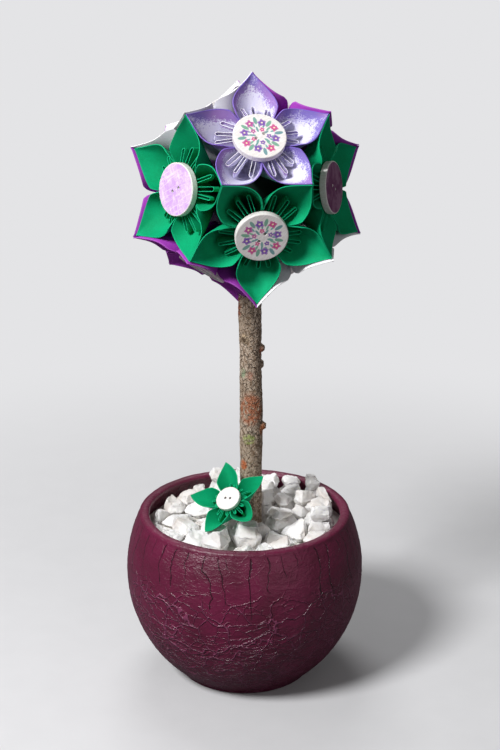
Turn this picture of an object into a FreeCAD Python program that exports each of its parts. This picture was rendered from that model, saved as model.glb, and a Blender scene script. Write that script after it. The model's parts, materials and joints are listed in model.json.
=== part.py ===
import FreeCAD, Part
import math
import os
import random
import Sketcher
from FreeCAD import Placement, Rotation, Vector

# Kusudama paper ball on a twig in a globe pot, millimetres, +Z up.
# The origin is the middle of the pot's flat foot, and -Y is the front.

os.makedirs("parts", exist_ok=True)
doc = FreeCAD.newDocument("kusudama_topiary")

# Driving dimensions, one cell each, lengths in millimetres and angles in degrees
DIMENSIONS = [
    ("ball_radius", 70.0),
    ("ball_middle_x", 1.8),
    ("ball_middle_height", 308.0),
    ("ball_turn", 9.7),
    ("ball_roll", 1.4),
    ("ball_lean", -15.0),
    ("tip_clearance", 0.2),
    ("paper_side", 80.0),
    ("paper_thickness", 0.5),
    ("petal_half_width", 14.2),
    ("petal_inner_reach", 9.0),
    ("petal_clearance", 0.12),
    ("petal_root_length", 7.0),
    ("rim_rise", 0.55),
    ("rim_fall", 1.0),
    ("rim_tuck", 0.5),
    ("button_diameter", 30.0),
    ("button_thickness", 4.0),
    ("button_sink", 2.2),
    ("button_edge", 0.6),
    ("button_hole", 2.0),
    ("button_hole_pitch", 5.5),
    ("frill_reach", 25.0),
    ("frill_inner_radius", 10.4),
    ("frill_height", 4.1),
    ("frill_drop", 3.4),
    ("frill_thickness", 0.6),
    ("pleat_width", 1.7),
    ("pleat_spread", 18.0),
    ("pleat_clearance", 0.3),
    ("small_reach", 25.4),
    ("small_paper_side", 47.0),
    ("small_half_width", 7.2),
    ("small_inner_reach", 5.3),
    ("small_root_length", 6.0),
    ("small_button_diameter", 15.5),
    ("small_button_thickness", 2.6),
    ("small_button_sink", 1.3),
    ("small_button_edge", 0.5),
    ("small_button_hole", 1.6),
    ("small_hole_pitch", 3.2),
    ("small_frill_reach", 13.4),
    ("small_frill_inner", 5.8),
    ("small_frill_height", 2.6),
    ("small_frill_drop", 2.0),
    ("small_pleat_width", 1.3),
    ("small_root_x", -2.2),
    ("small_root_y", -14.5),
    ("small_root_height", 109.5),
    ("small_bearing", 233.0),
    ("small_tilt", 40.5),
    ("small_spin", -76.0),
    ("trunk_diameter", 14.0),
    ("trunk_x", 3.7),
    ("trunk_foot_height", 30.0),
    ("trunk_end_depth", 4.0),
    ("trunk_clearance", 0.15),
    ("trunk_paper_clearance", 0.4),
    ("trunk_wander", 0.5),
    ("knot_diameter", 6.4),
    ("knot_rise", 2.0),
    ("plug_clearance", 0.3),
    ("pot_height", 107.0),
    ("pot_belly_radius", 74.0),
    ("pot_belly_height", 68.0),
    ("pot_curve_radius", 85.0),
    ("pot_wall", 6.0),
    ("pot_floor", 8.0),
    ("pot_lip", 2.4),
    ("pot_foot_edge", 2.0),
    ("fill_level", 93.0),
    ("fill_clearance", 0.15),
    ("chip_width", 15.0),
    ("chip_height", 12.5),
    ("chip_clearance", 0.3),
    ("chip_seed", 7),
]

sheet = doc.addObject("Spreadsheet::Sheet", "Sheet")
for row, (alias, value) in enumerate(DIMENSIONS, start=1):
    sheet.set(f"A{row}", alias)
    sheet.set(f"B{row}", str(value))
    sheet.setAlias(f"B{row}", alias)
doc.recompute()


def dim(alias):
    """The value of one driving dimension."""
    return float(sheet.get(alias))


# Proportions of the twelve flowered ball: an icosahedron's corners are the flower axes
GOLDEN = (1 + math.sqrt(5)) / 2
PETALS = 5
PETAL_ANGLE = 360.0 / PETALS
# Angle at the ball's middle between a flower's axis and its tips
TIP_ANGLE = math.atan(2 * (GOLDEN - 1) / GOLDEN)
SHEET_HALF_CORNER = math.radians(45)
PLEATS_PER_PETAL = 3
# Height of a pleat's outer end, and the reach of the frill's flat top under the button
PLEAT_END_SHARE = 1.2
FRILL_FLAT_SHARE = 0.9

# Proportions of the stone chips
RIM_SIDES = 24
CHIP_TRIES = 600
CHIP_WIDEST = 1.35
CHIP_NARROWEST = 0.8
CHIP_BED = 0.74
CHIP_TOP = 0.66
CHIP_WAIST = (0.35, 0.6)
CHIP_ROUGH = 0.86
CHIP_SLOPE = 0.45
CHIP_LOWEST = 0.65
CHIP_UPPER = 0.85
# Room under the small flower, in chip heights, up to which a chip props it
CHIP_HEAP = 1.6
HEAP_SHARE = (0.2, 0.5)


def along(vector, length):
    """A vector of the given length along another one."""
    return Vector(vector).normalize() * length


# Sketch helpers

def plane_of(body, role):
    """The body's own origin plane of that role."""
    for feature in body.Origin.OriginFeatures:
        if feature.Role == role:
            return feature
    raise ValueError(role)


def new_sketch(body, name, role):
    """An empty sketch on one of the body's origin planes."""
    sketch = body.newObject("Sketcher::SketchObject", name)
    sketch.AttachmentSupport = [(plane_of(body, role), "")]
    sketch.MapMode = "FlatFace"
    return sketch


def bound(sketch, constraint, expression):
    """Adds a constraint whose value follows the sheet."""
    index = sketch.addConstraint(constraint)
    sketch.setExpression(f"Constraints[{index}]", expression)


def edges_at(shape, height):
    """Names of the round edges that lie wholly at one height."""
    names = []
    for number, edge in enumerate(shape.Edges, start=1):
        box = edge.BoundBox
        if abs(box.ZMin - height) < 1e-4 and abs(box.ZMax - height) < 1e-4:
            names.append(f"Edge{number}")
    return names


def globe_profile(body, name, floor, top, radius, outer_radius=None):
    """Half section of a globe cut flat: solid, or a wall when outer_radius is given.

    floor, top, radius and outer_radius are expressions on the sheet.
    """
    sketch = new_sketch(body, name, "XZ_Plane")
    middle_x = dim("pot_belly_radius") - dim("pot_curve_radius")
    middle = Vector(middle_x, dim("pot_belly_height"), 0)
    out = Vector(0, 0, 1)
    start = math.radians(-50)
    end = math.radians(25)
    outer = Part.Circle(middle, out, dim("pot_curve_radius"))
    inner = Part.Circle(middle, out, dim("pot_curve_radius") - dim("pot_wall"))
    height = dim("pot_height")
    floor_height = dim("pot_floor")
    wide = dim("pot_belly_radius") * 0.8
    if outer_radius:
        sketch.addGeometry(Part.LineSegment(Vector(0, 0, 0), Vector(wide / 2, 0, 0)))
        sketch.addGeometry(Part.ArcOfCircle(outer, start, end))
        sketch.addGeometry(Part.LineSegment(Vector(wide, height, 0), Vector(wide * 0.9, height, 0)))
        sketch.addGeometry(Part.ArcOfCircle(inner, start, end))
        sketch.addGeometry(Part.LineSegment(Vector(wide / 2, floor_height, 0), Vector(0, floor_height, 0)))
        sketch.addGeometry(Part.LineSegment(Vector(0, floor_height, 0), Vector(0, 0, 0)))
        for first, first_end, second, second_end in (
            (0, 2, 1, 1), (1, 2, 2, 1), (2, 2, 3, 2), (3, 1, 4, 1), (4, 2, 5, 1), (5, 2, 0, 1),
            (1, 3, 3, 3), (0, 1, -1, 1),
        ):
            sketch.addConstraint(Sketcher.Constraint("Coincident", first, first_end, second, second_end))
        for line in (0, 2, 4):
            sketch.addConstraint(Sketcher.Constraint("Horizontal", line))
        sketch.addConstraint(Sketcher.Constraint("Vertical", 5))
        bound(sketch, Sketcher.Constraint("Radius", 1, dim("pot_curve_radius")), outer_radius)
        bound(sketch, Sketcher.Constraint("Radius", 3, dim("pot_curve_radius") - dim("pot_wall")), radius)
        arc, low, high, low_end, high_end = 1, 4, 1, 1, 2
    else:
        sketch.addGeometry(Part.LineSegment(Vector(0, floor_height, 0), Vector(wide / 2, floor_height, 0)))
        sketch.addGeometry(Part.ArcOfCircle(inner, start, end))
        sketch.addGeometry(Part.LineSegment(Vector(wide, height, 0), Vector(0, height, 0)))
        sketch.addGeometry(Part.LineSegment(Vector(0, height, 0), Vector(0, floor_height, 0)))
        for first, first_end, second, second_end in (
            (0, 2, 1, 1), (1, 2, 2, 1), (2, 2, 3, 1), (3, 2, 0, 1),
        ):
            sketch.addConstraint(Sketcher.Constraint("Coincident", first, first_end, second, second_end))
        for line in (0, 2):
            sketch.addConstraint(Sketcher.Constraint("Horizontal", line))
        sketch.addConstraint(Sketcher.Constraint("Vertical", 3))
        sketch.addConstraint(Sketcher.Constraint("PointOnObject", 0, 1, -2))
        bound(sketch, Sketcher.Constraint("Radius", 1, dim("pot_curve_radius") - dim("pot_wall")), radius)
        arc, low, high, low_end, high_end = 1, 0, 1, 1, 2
    bound(
        sketch,
        Sketcher.Constraint("DistanceX", arc, 3, -1, 1, -middle_x),
        "Sheet.pot_curve_radius - Sheet.pot_belly_radius",
    )
    bound(
        sketch,
        Sketcher.Constraint("DistanceY", -1, 1, arc, 3, dim("pot_belly_height")),
        "Sheet.pot_belly_height",
    )
    bound(sketch, Sketcher.Constraint("DistanceY", -1, 1, low, low_end, floor_height), floor)
    bound(sketch, Sketcher.Constraint("DistanceY", -1, 1, high, high_end, height), top)
    return sketch


def revolved(body, name, sketch):
    """A full turn of a sketch about its upright axis."""
    turn = body.newObject("PartDesign::Revolution", name)
    turn.Profile = sketch
    turn.ReferenceAxis = (sketch, ["V_Axis"])
    turn.Angle = 360
    sketch.Visibility = False
    doc.recompute()
    return turn


# Pot, one turned and glazed globe with a wide mouth

def make_pot():
    """The pot with its rounded lip and foot."""
    body = doc.addObject("PartDesign::Body", "pot")
    profile = globe_profile(
        body, "pot_profile", "Sheet.pot_floor", "Sheet.pot_height",
        "Sheet.pot_curve_radius - Sheet.pot_wall", "Sheet.pot_curve_radius",
    )
    turn = revolved(body, "pot_turned", profile)
    for name, height, size in (
        ("pot_lip_round", dim("pot_height"), "Sheet.pot_lip"),
        ("pot_foot_round", 0.0, "Sheet.pot_foot_edge"),
    ):
        rounding = body.newObject("PartDesign::Fillet", name)
        rounding.Base = (turn, edges_at(turn.Shape, height))
        rounding.setExpression("Radius", size)
        doc.recompute()
        turn = rounding
    return body


# Fill, the plaster that was poured round the trunk's foot

def make_fill():
    """The poured fill with the socket that the trunk stands in."""
    body = doc.addObject("PartDesign::Body", "pot_fill")
    profile = globe_profile(
        body, "fill_profile", "Sheet.pot_floor", "Sheet.fill_level",
        "Sheet.pot_curve_radius - Sheet.pot_wall - Sheet.fill_clearance",
    )
    revolved(body, "fill_turned", profile)
    mouth = new_sketch(body, "socket_mouth", "XY_Plane")
    mouth.AttachmentOffset = Placement(Vector(0, 0, dim("fill_level")), Rotation())
    mouth.setExpression("AttachmentOffset.Base.z", "Sheet.fill_level")
    mouth.addGeometry(Part.Circle(Vector(dim("trunk_x"), 0, 0), Vector(0, 0, 1), dim("trunk_diameter") / 2))
    mouth.addConstraint(Sketcher.Constraint("PointOnObject", 0, 3, -1))
    bound(mouth, Sketcher.Constraint("DistanceX", -1, 1, 0, 3, dim("trunk_x")), "Sheet.trunk_x")
    bound(
        mouth,
        Sketcher.Constraint("Radius", 0, dim("trunk_diameter") / 2),
        "Sheet.trunk_diameter / 2 + Sheet.trunk_clearance",
    )
    socket = body.newObject("PartDesign::Pocket", "trunk_socket")
    socket.Profile = mouth
    socket.setExpression("Length", "Sheet.fill_level - Sheet.trunk_foot_height")
    mouth.Visibility = False
    doc.recompute()
    return body


# Trunk, a straight twig with its bark on and the stubs of its side shoots

# Height share, girth and sideways lean of the twig's sections above the fill
TWIG_SECTIONS = [
    (0.0, 1.0, 0.0, 0.0),
    (0.16, 0.97, 0.6, 0.2),
    (0.34, 1.03, 1.0, -0.4),
    (0.52, 0.96, 0.2, 0.3),
    (0.7, 1.0, -0.8, -0.2),
    (0.86, 0.97, -0.3, 0.4),
    (1.0, 0.94, 0.0, 0.0),
]
# Share of the twig's height and bearing of each stub, in degrees from +X
KNOTS = [
    ("knot_right_high", 0.555, 0.0),
    ("knot_right_mid", 0.505, 15.0),
    ("knot_right_low", 0.32, -10.0),
    ("knot_left", 0.585, 200.0),
    ("knot_back", 0.42, 100.0),
    ("knot_back_low", 0.14, 60.0),
]


def twig_section(body, number, share, girth, lean_x, lean_y):
    """One round section of the twig, at its share of the height."""
    sketch = new_sketch(body, f"twig_section_{number}", "XY_Plane")
    sketch.AttachmentOffset = Placement(Vector(0, 0, share), Rotation())
    length = "(Sheet.ball_middle_height - Sheet.trunk_end_depth - Sheet.fill_level)"
    sketch.setExpression("AttachmentOffset.Base.x", f"Sheet.trunk_x + Sheet.trunk_wander * {lean_x}")
    sketch.setExpression("AttachmentOffset.Base.y", f"Sheet.trunk_wander * {lean_y}")
    sketch.setExpression("AttachmentOffset.Base.z", f"Sheet.fill_level + {length} * {share}")
    sketch.addGeometry(Part.Circle(Vector(0, 0, 0), Vector(0, 0, 1), dim("trunk_diameter") / 2))
    sketch.addConstraint(Sketcher.Constraint("Coincident", 0, 3, -1, 1))
    bound(
        sketch,
        Sketcher.Constraint("Radius", 0, dim("trunk_diameter") / 2),
        f"Sheet.trunk_diameter / 2 * {girth}",
    )
    sketch.Visibility = False
    return sketch


def make_trunk():
    """The twig: a straight foot in the fill, a lofted stem and its stubs."""
    body = doc.addObject("PartDesign::Body", "trunk_stem")
    foot = new_sketch(body, "twig_foot", "XY_Plane")
    foot.AttachmentOffset = Placement(Vector(0, 0, dim("trunk_foot_height")), Rotation())
    foot.setExpression("AttachmentOffset.Base.x", "Sheet.trunk_x")
    foot.setExpression("AttachmentOffset.Base.z", "Sheet.trunk_foot_height")
    foot.addGeometry(Part.Circle(Vector(0, 0, 0), Vector(0, 0, 1), dim("trunk_diameter") / 2))
    foot.addConstraint(Sketcher.Constraint("Coincident", 0, 3, -1, 1))
    bound(foot, Sketcher.Constraint("Radius", 0, dim("trunk_diameter") / 2), "Sheet.trunk_diameter / 2")
    pad = body.newObject("PartDesign::Pad", "twig_foot_pad")
    pad.Profile = foot
    pad.setExpression("Length", "Sheet.fill_level - Sheet.trunk_foot_height")
    foot.Visibility = False
    doc.recompute()
    sections = [twig_section(body, number, *values) for number, values in enumerate(TWIG_SECTIONS)]
    doc.recompute()
    stem = body.newObject("PartDesign::AdditiveLoft", "twig_stem")
    stem.Profile = sections[0]
    stem.Sections = sections[1:]
    stem.Ruled = False
    doc.recompute()

    stem_length = "(Sheet.ball_middle_height - Sheet.trunk_end_depth - Sheet.fill_level)"
    stubs = []
    for name, share, bearing in KNOTS:
        stub = doc.addObject("Part::Cone", name)
        stub.setExpression("Radius1", "Sheet.knot_diameter / 2")
        stub.setExpression("Radius2", "Sheet.knot_diameter / 4")
        stub.setExpression("Height", "Sheet.trunk_diameter / 2 + Sheet.knot_rise")
        stub.Placement = Placement(Vector(), Rotation(Vector(0, 0, 1), bearing) * Rotation(Vector(0, 1, 0), 75))
        stub.setExpression("Placement.Base.x", "Sheet.trunk_x")
        stub.setExpression("Placement.Base.z", f"Sheet.fill_level + {stem_length} * {share}")
        stubs.append(stub)
    trunk = doc.addObject("Part::MultiFuse", "trunk")
    trunk.Shapes = [body] + stubs
    doc.recompute()
    return trunk


# Folded petal

# Steps of the petal's section that measure the wrapped paper, and points on each edge curve
FINE_STEPS = 240
RAIL_POINTS = 17
# How sharply a petal's round turns into the flat side that the next flower presses
PRESS_SHARPNESS = 8


class FlowerSizes:
    """The sizes that a flower's petals, frill and button share."""

    def __init__(self, reach, paper, half_width, inner_reach, root_length, button, pleats, ball_reach=None):
        self.reach = reach
        self.paper = paper
        self.half_width = half_width
        self.inner_reach = inner_reach
        self.root_length = root_length
        self.button_radius, self.button_thickness, self.button_sink = button
        self.frill_reach, self.frill_inner, self.frill_height, self.frill_drop, self.pleat_width = pleats
        self.length = paper / math.sqrt(2)
        self.depth = math.sqrt(self.length**2 - reach**2)
        self.seat = self.depth - self.button_sink - self.button_thickness
        self.skew = self.section_skew()
        self.face_reach = None
        if ball_reach:
            self.face_reach = ball_reach * math.sin(TIP_ANGLE)
            self.root_distance = ball_reach * math.cos(TIP_ANGLE) - self.depth
        self.outline, self.rims = self.half_petal()

    def section(self, turn):
        """Point of the unpressed section at the height of the tips; turn is 0 at the tip."""
        half = (self.reach - self.inner_reach) / 2
        across = self.half_width * math.sin(turn) * (1 + self.skew * math.cos(turn))
        return Vector(self.reach - half + half * math.cos(turn), across, self.depth)

    def section_skew(self):
        """Skew of the section that just brings each petal against its neighbours."""
        wedge = math.radians(PETAL_ANGLE / 2)
        low, high = -0.95, 0.95
        for _ in range(40):
            self.skew = (low + high) / 2
            points = [self.section(math.pi * step / 180) for step in range(1, 180)]
            over = max(p.y * math.cos(wedge) - p.x * math.sin(wedge) for p in points)
            if over > -dim("petal_clearance"):
                low = self.skew
            else:
                high = self.skew
        return high

    def half_petal(self):
        """Points of half a petal's section, tip first, and of the edge that its square sheet gives."""
        outline = []
        rims = []
        wrapped = 0.0
        before = self.section(0.0)
        for step in range(FINE_STEPS + 1):
            point = self.section(math.pi * step / FINE_STEPS)
            wide = point.y
            for _ in range(3):
                turned = wrapped + before.getAngle(point)
                free = self.paper / 2 / math.cos(max(SHEET_HALF_CORNER - turned, 0.0))
                if self.face_reach:
                    point.y = self.pressed_width(point.x, wide, free / point.Length)
            wrapped += before.getAngle(point)
            before = point
            outline.append(point)
            rims.append(along(point, free))
        return outline, rims

    def pressed_width(self, across_reach, wide, stretch):
        """Half width that the next flowers leave to the rim; stretch is its share of the tips' height."""
        corner = math.radians(90 - PETAL_ANGLE / 2)
        fan = (self.root_distance / stretch + self.depth) / (self.root_distance + self.depth)
        room = (self.face_reach * fan - across_reach) * math.tan(corner)
        room -= dim("tip_clearance") / 2 / math.cos(corner)
        sharp = PRESS_SHARPNESS
        return wide * room / (wide**sharp + room**sharp) ** (1 / sharp)

    def rim_height(self, reach):
        """Height that the button leaves to a rim, by its reach at the tips' height."""
        tuck_height = self.seat - dim("rim_tuck")
        tuck_reach = self.button_radius * self.depth / tuck_height
        slope = dim("rim_rise") if reach > tuck_reach else dim("rim_fall")
        return tuck_height + slope * (reach - tuck_reach)

    def half_width_at(self, across_reach):
        """Half width of the section at a distance from the flower's axis."""
        half = (self.reach - self.inner_reach) / 2
        share = (across_reach - self.reach + half) / half
        if abs(share) >= 1:
            return 0.0
        return self.outline[round(math.acos(share) / math.pi * FINE_STEPS)].y

    def inside_wall(self, point):
        """Whether a point lies inside the petal's cone, clear of its paper."""
        scale = self.depth / point.z
        room = self.half_width_at(point.x * scale) - abs(point.y) * scale
        return room / scale > dim("paper_thickness") + dim("pleat_clearance")


def petal_rails(sizes):
    """Rim and root curves of half a petal, outside and inside, tip first."""
    steps = sizes.outline
    rays = [along(point, 1) for point in steps]
    free = [rim.Length for rim in sizes.rims]
    rails = {"rim_out": [], "rim_in": [], "root_out": [], "root_in": []}
    for index in range(RAIL_POINTS):
        step = round(index * FINE_STEPS / (RAIL_POINTS - 1))
        ray = rays[step]
        before = rays[max(step - 1, 0)]
        after = rays[min(step + 1, FINE_STEPS)]
        if index == 0:
            before = Vector(after.x, -after.y, after.z)
        if index == RAIL_POINTS - 1:
            after = Vector(before.x, -before.y, before.z)
        inward = along(ray.cross(after - before), dim("paper_thickness"))
        reach = math.hypot(steps[step].x, steps[step].y)
        pressed = sizes.rim_height(reach) / ray.z
        rim = ray * min(free[step], pressed)
        root = ray * sizes.root_length
        rails["rim_out"].append(rim)
        rails["rim_in"].append(rim + inward)
        rails["root_out"].append(root)
        rails["root_in"].append(root + inward)
    return rails


def spline(points):
    """A smooth edge through points."""
    curve = Part.BSplineCurve()
    curve.interpolate(points)
    return Part.Wire(curve.toShape())


def mirrored(points):
    """The same points on the petal's other side."""
    return [Vector(point.x, -point.y, point.z) for point in points]


def seam_parted(points):
    """Draws the seam's end point back, so that both sides of the seam stay apart."""
    end = points[-1]
    return points[:-1] + [Vector(end.x, dim("petal_clearance") / 2, end.z)]


def petal_shape(sizes):
    """One folded petal: a cone of doubled paper with its seam on the inner side."""
    rails = {name: seam_parted(points) for name, points in petal_rails(sizes).items()}
    for name in rails:
        tip = rails[name][0]
        rails[name][0] = Vector(tip.x, 0, tip.z)
    faces = []
    for side in (rails, {name: mirrored(points) for name, points in rails.items()}):
        edges = {name: spline(points) for name, points in side.items()}
        for first, second in (
            ("rim_out", "root_out"), ("rim_in", "root_in"), ("rim_out", "rim_in"), ("root_out", "root_in"),
        ):
            faces += Part.makeLoft([edges[first], edges[second]], False, True).Faces
        corners = [side[name][-1] for name in ("rim_out", "rim_in", "root_in", "root_out")]
        faces.append(Part.Face(Part.makePolygon(corners + corners[:1])))
    shell = Part.makeShell(faces)
    shell.sewShape()
    solid = Part.makeSolid(shell)
    if solid.Volume < 0:
        solid.reverse()
    return solid


def petals_shape(sizes):
    """The five petals of a flower, glued side by side round its axis."""
    petal = petal_shape(sizes)
    petals = []
    for number in range(PETALS):
        turned = petal.copy()
        turned.rotate(Vector(0, 0, 0), Vector(0, 0, 1), PETAL_ANGLE * number)
        petals.append(turned)
    return petals


# Pleated frill, an accordion folded strip of paper on edge

def pleat_reach(sizes, bearing):
    """How far a pleat goes out before the petal's wall stops it."""
    reach = sizes.frill_reach
    bottom = sizes.seat - sizes.frill_drop - sizes.frill_height * PLEAT_END_SHARE
    side = Vector(0, sizes.pleat_width / 2, 0)
    while reach > sizes.button_radius:
        corner = Rotation(Vector(0, 0, 1), abs(bearing)).multVec(Vector(reach, 0, bottom) + side)
        if sizes.inside_wall(corner):
            break
        reach -= dim("frill_thickness") / 2
    return reach


def frill_outline(sizes, inset):
    """Closed wire of the folded strip's outer side, or its inner side when inset."""
    radius = sizes.frill_inner - inset
    half = sizes.pleat_width / 2 - inset
    opening = math.degrees(math.asin(half / radius))
    bearings = []
    for petal in range(PETALS):
        for fold in range(PLEATS_PER_PETAL):
            spread = (fold - (PLEATS_PER_PETAL - 1) / 2) * dim("pleat_spread")
            bearings.append((PETAL_ANGLE * petal + spread, spread))
    edges = []
    for (bearing, spread), (following, _) in zip(bearings, bearings[1:] + [(360 + bearings[0][0], 0)]):
        turn = Rotation(Vector(0, 0, 1), bearing)
        reach = pleat_reach(sizes, spread) - inset
        start = radius * math.cos(math.radians(opening))
        corners = [
            turn.multVec(Vector(start, -half, 0)),
            turn.multVec(Vector(reach - half, -half, 0)),
            turn.multVec(Vector(reach, 0, 0)),
            turn.multVec(Vector(reach - half, half, 0)),
            turn.multVec(Vector(start, half, 0)),
        ]
        between = Rotation(Vector(0, 0, 1), (bearing + following) / 2).multVec(Vector(radius, 0, 0))
        after = Rotation(Vector(0, 0, 1), following - opening).multVec(Vector(radius, 0, 0))
        edges.append(Part.LineSegment(corners[0], corners[1]).toShape())
        edges.append(Part.Arc(corners[1], corners[2], corners[3]).toShape())
        edges.append(Part.LineSegment(corners[3], corners[4]).toShape())
        edges.append(Part.Arc(corners[4], between, after).toShape())
    return Part.Wire(Part.sortEdges(edges)[0])


def frill_shape(sizes):
    """The frill: its strip stands on edge and slopes down past the button."""
    outer = frill_outline(sizes, 0)
    inner = frill_outline(sizes, dim("frill_thickness"))
    strip = Part.Face([outer, inner]).extrude(Vector(0, 0, sizes.seat))
    flat = sizes.button_radius * FRILL_FLAT_SHARE
    far = sizes.frill_reach + dim("frill_thickness")
    near = sizes.frill_inner - 2 * dim("frill_thickness")
    top = sizes.seat
    profile = [
        Vector(near, 0, top),
        Vector(flat, 0, top),
        Vector(far, 0, top - sizes.frill_drop),
        Vector(far, 0, top - sizes.frill_drop - sizes.frill_height * PLEAT_END_SHARE),
        Vector(flat, 0, top - sizes.frill_height),
        Vector(near, 0, top - sizes.frill_height),
    ]
    band = Part.Face(Part.makePolygon(profile + profile[:1])).revolve(Vector(0, 0, 0), Vector(0, 0, 1), 360)
    frill = strip.common(band)
    return frill.Solids[0] if len(frill.Solids) == 1 else frill


# Round wooden button with two holes

def make_button(name, prefix, hole_pitch):
    """A flat round button; prefix picks its sizes on the sheet."""
    body = doc.addObject("PartDesign::Body", name)
    outline = new_sketch(body, f"{name}_outline", "XY_Plane")
    pitch = dim(hole_pitch)
    up = Vector(0, 0, 1)
    outline.addGeometry(Part.Circle(Vector(0, 0, 0), up, dim(f"{prefix}_diameter") / 2))
    outline.addGeometry(Part.Circle(Vector(pitch / 2, 0, 0), up, dim(f"{prefix}_hole") / 2))
    outline.addGeometry(Part.Circle(Vector(-pitch / 2, 0, 0), up, dim(f"{prefix}_hole") / 2))
    outline.addConstraint(Sketcher.Constraint("Coincident", 0, 3, -1, 1))
    outline.addConstraint(Sketcher.Constraint("PointOnObject", 1, 3, -1))
    outline.addConstraint(Sketcher.Constraint("Symmetric", 1, 3, 2, 3, -1, 1))
    bound(outline, Sketcher.Constraint("Radius", 0, dim(f"{prefix}_diameter") / 2), f"Sheet.{prefix}_diameter / 2")
    for hole in (1, 2):
        bound(outline, Sketcher.Constraint("Radius", hole, dim(f"{prefix}_hole") / 2), f"Sheet.{prefix}_hole / 2")
    bound(outline, Sketcher.Constraint("DistanceX", 2, 3, 1, 3, pitch), f"Sheet.{hole_pitch}")
    pad = body.newObject("PartDesign::Pad", f"{name}_pad")
    pad.Profile = outline
    pad.setExpression("Length", f"Sheet.{prefix}_thickness")
    outline.Visibility = False
    doc.recompute()
    rims = []
    for number, edge in enumerate(pad.Shape.Edges, start=1):
        if edge.Curve.TypeId == "Part::GeomCircle" and edge.Curve.Radius > pitch:
            rims.append(f"Edge{number}")
    rounding = body.newObject("PartDesign::Fillet", f"{name}_round")
    rounding.Base = (pad, rims)
    rounding.setExpression("Radius", f"Sheet.{prefix}_edge")
    doc.recompute()
    return body


# Twelve flowers on the ball

# Each flower's corner of the icosahedron and the turn of its button's holes in degrees
FLOWERS = [
    (Vector(0, -GOLDEN, 1), 50),
    (Vector(0, -GOLDEN, -1), 40),
    (Vector(-GOLDEN, -1, 0), 90),
    (Vector(GOLDEN, -1, 0), 90),
    (Vector(-1, 0, GOLDEN), 15),
    (Vector(1, 0, GOLDEN), 70),
    (Vector(-1, 0, -GOLDEN), 120),
    (Vector(1, 0, -GOLDEN), 35),
    (Vector(-GOLDEN, 1, 0), 80),
    (Vector(GOLDEN, 1, 0), 100),
    (Vector(0, GOLDEN, 1), 55),
    (Vector(0, GOLDEN, -1), 140),
]


def ball_tips():
    """The corners of the dodecahedron, where three petal tips meet."""
    tips = [Vector(x, y, z) for x in (-1, 1) for y in (-1, 1) for z in (-1, 1)]
    for first in (-1, 1):
        for second in (-1, 1):
            short, tall = first / GOLDEN, second * GOLDEN
            tips += [Vector(short, tall, 0), Vector(0, short, tall), Vector(tall, 0, short)]
    return [along(tip, 1) for tip in tips]


def flower_rotation(axis):
    """Turns a flower's own axes so that +Z is its axis and +X points at one of its tips."""
    up = along(axis, 1)
    tip = min(ball_tips(), key=lambda corner: round(up.getAngle(corner), 6))
    side = along(tip - up * tip.dot(up), 1)
    return Rotation(side, up.cross(side), up, "ZXY")


def trunk_gap_tool():
    """The space that petals leave round the twig."""
    radius = dim("trunk_diameter") / 2 + dim("trunk_wander") + dim("trunk_paper_clearance")
    length = dim("ball_radius") + dim("trunk_diameter")
    foot = Vector(dim("trunk_x"), 0, dim("ball_middle_height") - length)
    space = Part.makeCylinder(radius, length, foot)
    # Its seam faces the front, where no petal reaches the twig
    space.rotate(foot, Vector(0, 0, 1), -90)
    return space


def cleared(paper, tool):
    """The folded paper, cut where the twig passes through it."""
    if not paper.BoundBox.intersect(tool.BoundBox) or paper.common(tool).Volume < 1e-6:
        return paper.copy()
    left = paper.cut(tool).Solids
    return max(left, key=lambda solid: solid.Volume)


def make_feature(name, shape, placement):
    """A named object with its own shape, placed after its shape is set."""
    feature = doc.addObject("Part::Feature", name)
    feature.Shape = shape
    feature.Placement = placement
    return feature


def ball_sizes():
    """The sizes of the ball's flowers."""
    return FlowerSizes(
        dim("ball_radius") * math.sin(TIP_ANGLE) - dim("tip_clearance"), dim("paper_side"), dim("petal_half_width"),
        dim("petal_inner_reach"), dim("petal_root_length"),
        (dim("button_diameter") / 2, dim("button_thickness"), dim("button_sink")),
        (dim("frill_reach"), dim("frill_inner_radius"), dim("frill_height"), dim("frill_drop"),
         dim("pleat_width")),
        dim("ball_radius"),
    )


def make_ball(sizes):
    """The twelve flowers, each of petals, frill and button."""
    middle = Vector(dim("ball_middle_x"), 0, dim("ball_middle_height"))
    ball = Rotation(dim("ball_turn"), dim("ball_roll"), dim("ball_lean"))
    petals = petals_shape(sizes)
    frill = frill_shape(sizes)
    tool = trunk_gap_tool()
    pieces = []
    for number, (axis, button_turn) in enumerate(FLOWERS, start=1):
        turn = ball * flower_rotation(axis)
        root = middle + turn.multVec(Vector(0, 0, sizes.root_distance))
        placement = Placement(root, turn)
        local_tool = tool.copy()
        local_tool.Placement = placement.inverse().multiply(local_tool.Placement)
        kept = [cleared(petal, local_tool) for petal in petals]
        name = f"flower_{number:02d}"
        pieces.append(make_feature(f"{name}_petals", Part.makeCompound(kept), placement))
        pieces.append(make_feature(f"{name}_frill", cleared(frill, local_tool), placement))
        button = make_button(f"{name}_button", "button", "button_hole_pitch")
        seat = Placement(Vector(0, 0, sizes.seat), Rotation(Vector(0, 0, 1), button_turn))
        button.Placement = placement.multiply(seat)
        pieces.append(button)
    return pieces


# Glue plug, the core of hot glue that holds the flowers on the twig's end

def make_plug(trunk, sizes):
    """A ball of glue round the twig's end that reaches up to the petals' roots."""
    spread = math.atan2(sizes.reach, sizes.depth)
    across = sizes.root_length * math.sin(spread)
    up = sizes.root_distance + sizes.root_length * math.cos(spread)
    blob = doc.addObject("Part::Sphere", "glue_blob")
    blob.Radius = math.hypot(across, up) - dim("plug_clearance")
    blob.setExpression("Placement.Base.x", "Sheet.ball_middle_x")
    blob.setExpression("Placement.Base.z", "Sheet.ball_middle_height")
    plug = doc.addObject("Part::Cut", "glue_plug")
    plug.Base = blob
    plug.Tool = trunk
    doc.recompute()
    return plug


# Small flower on the stone chips

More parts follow.
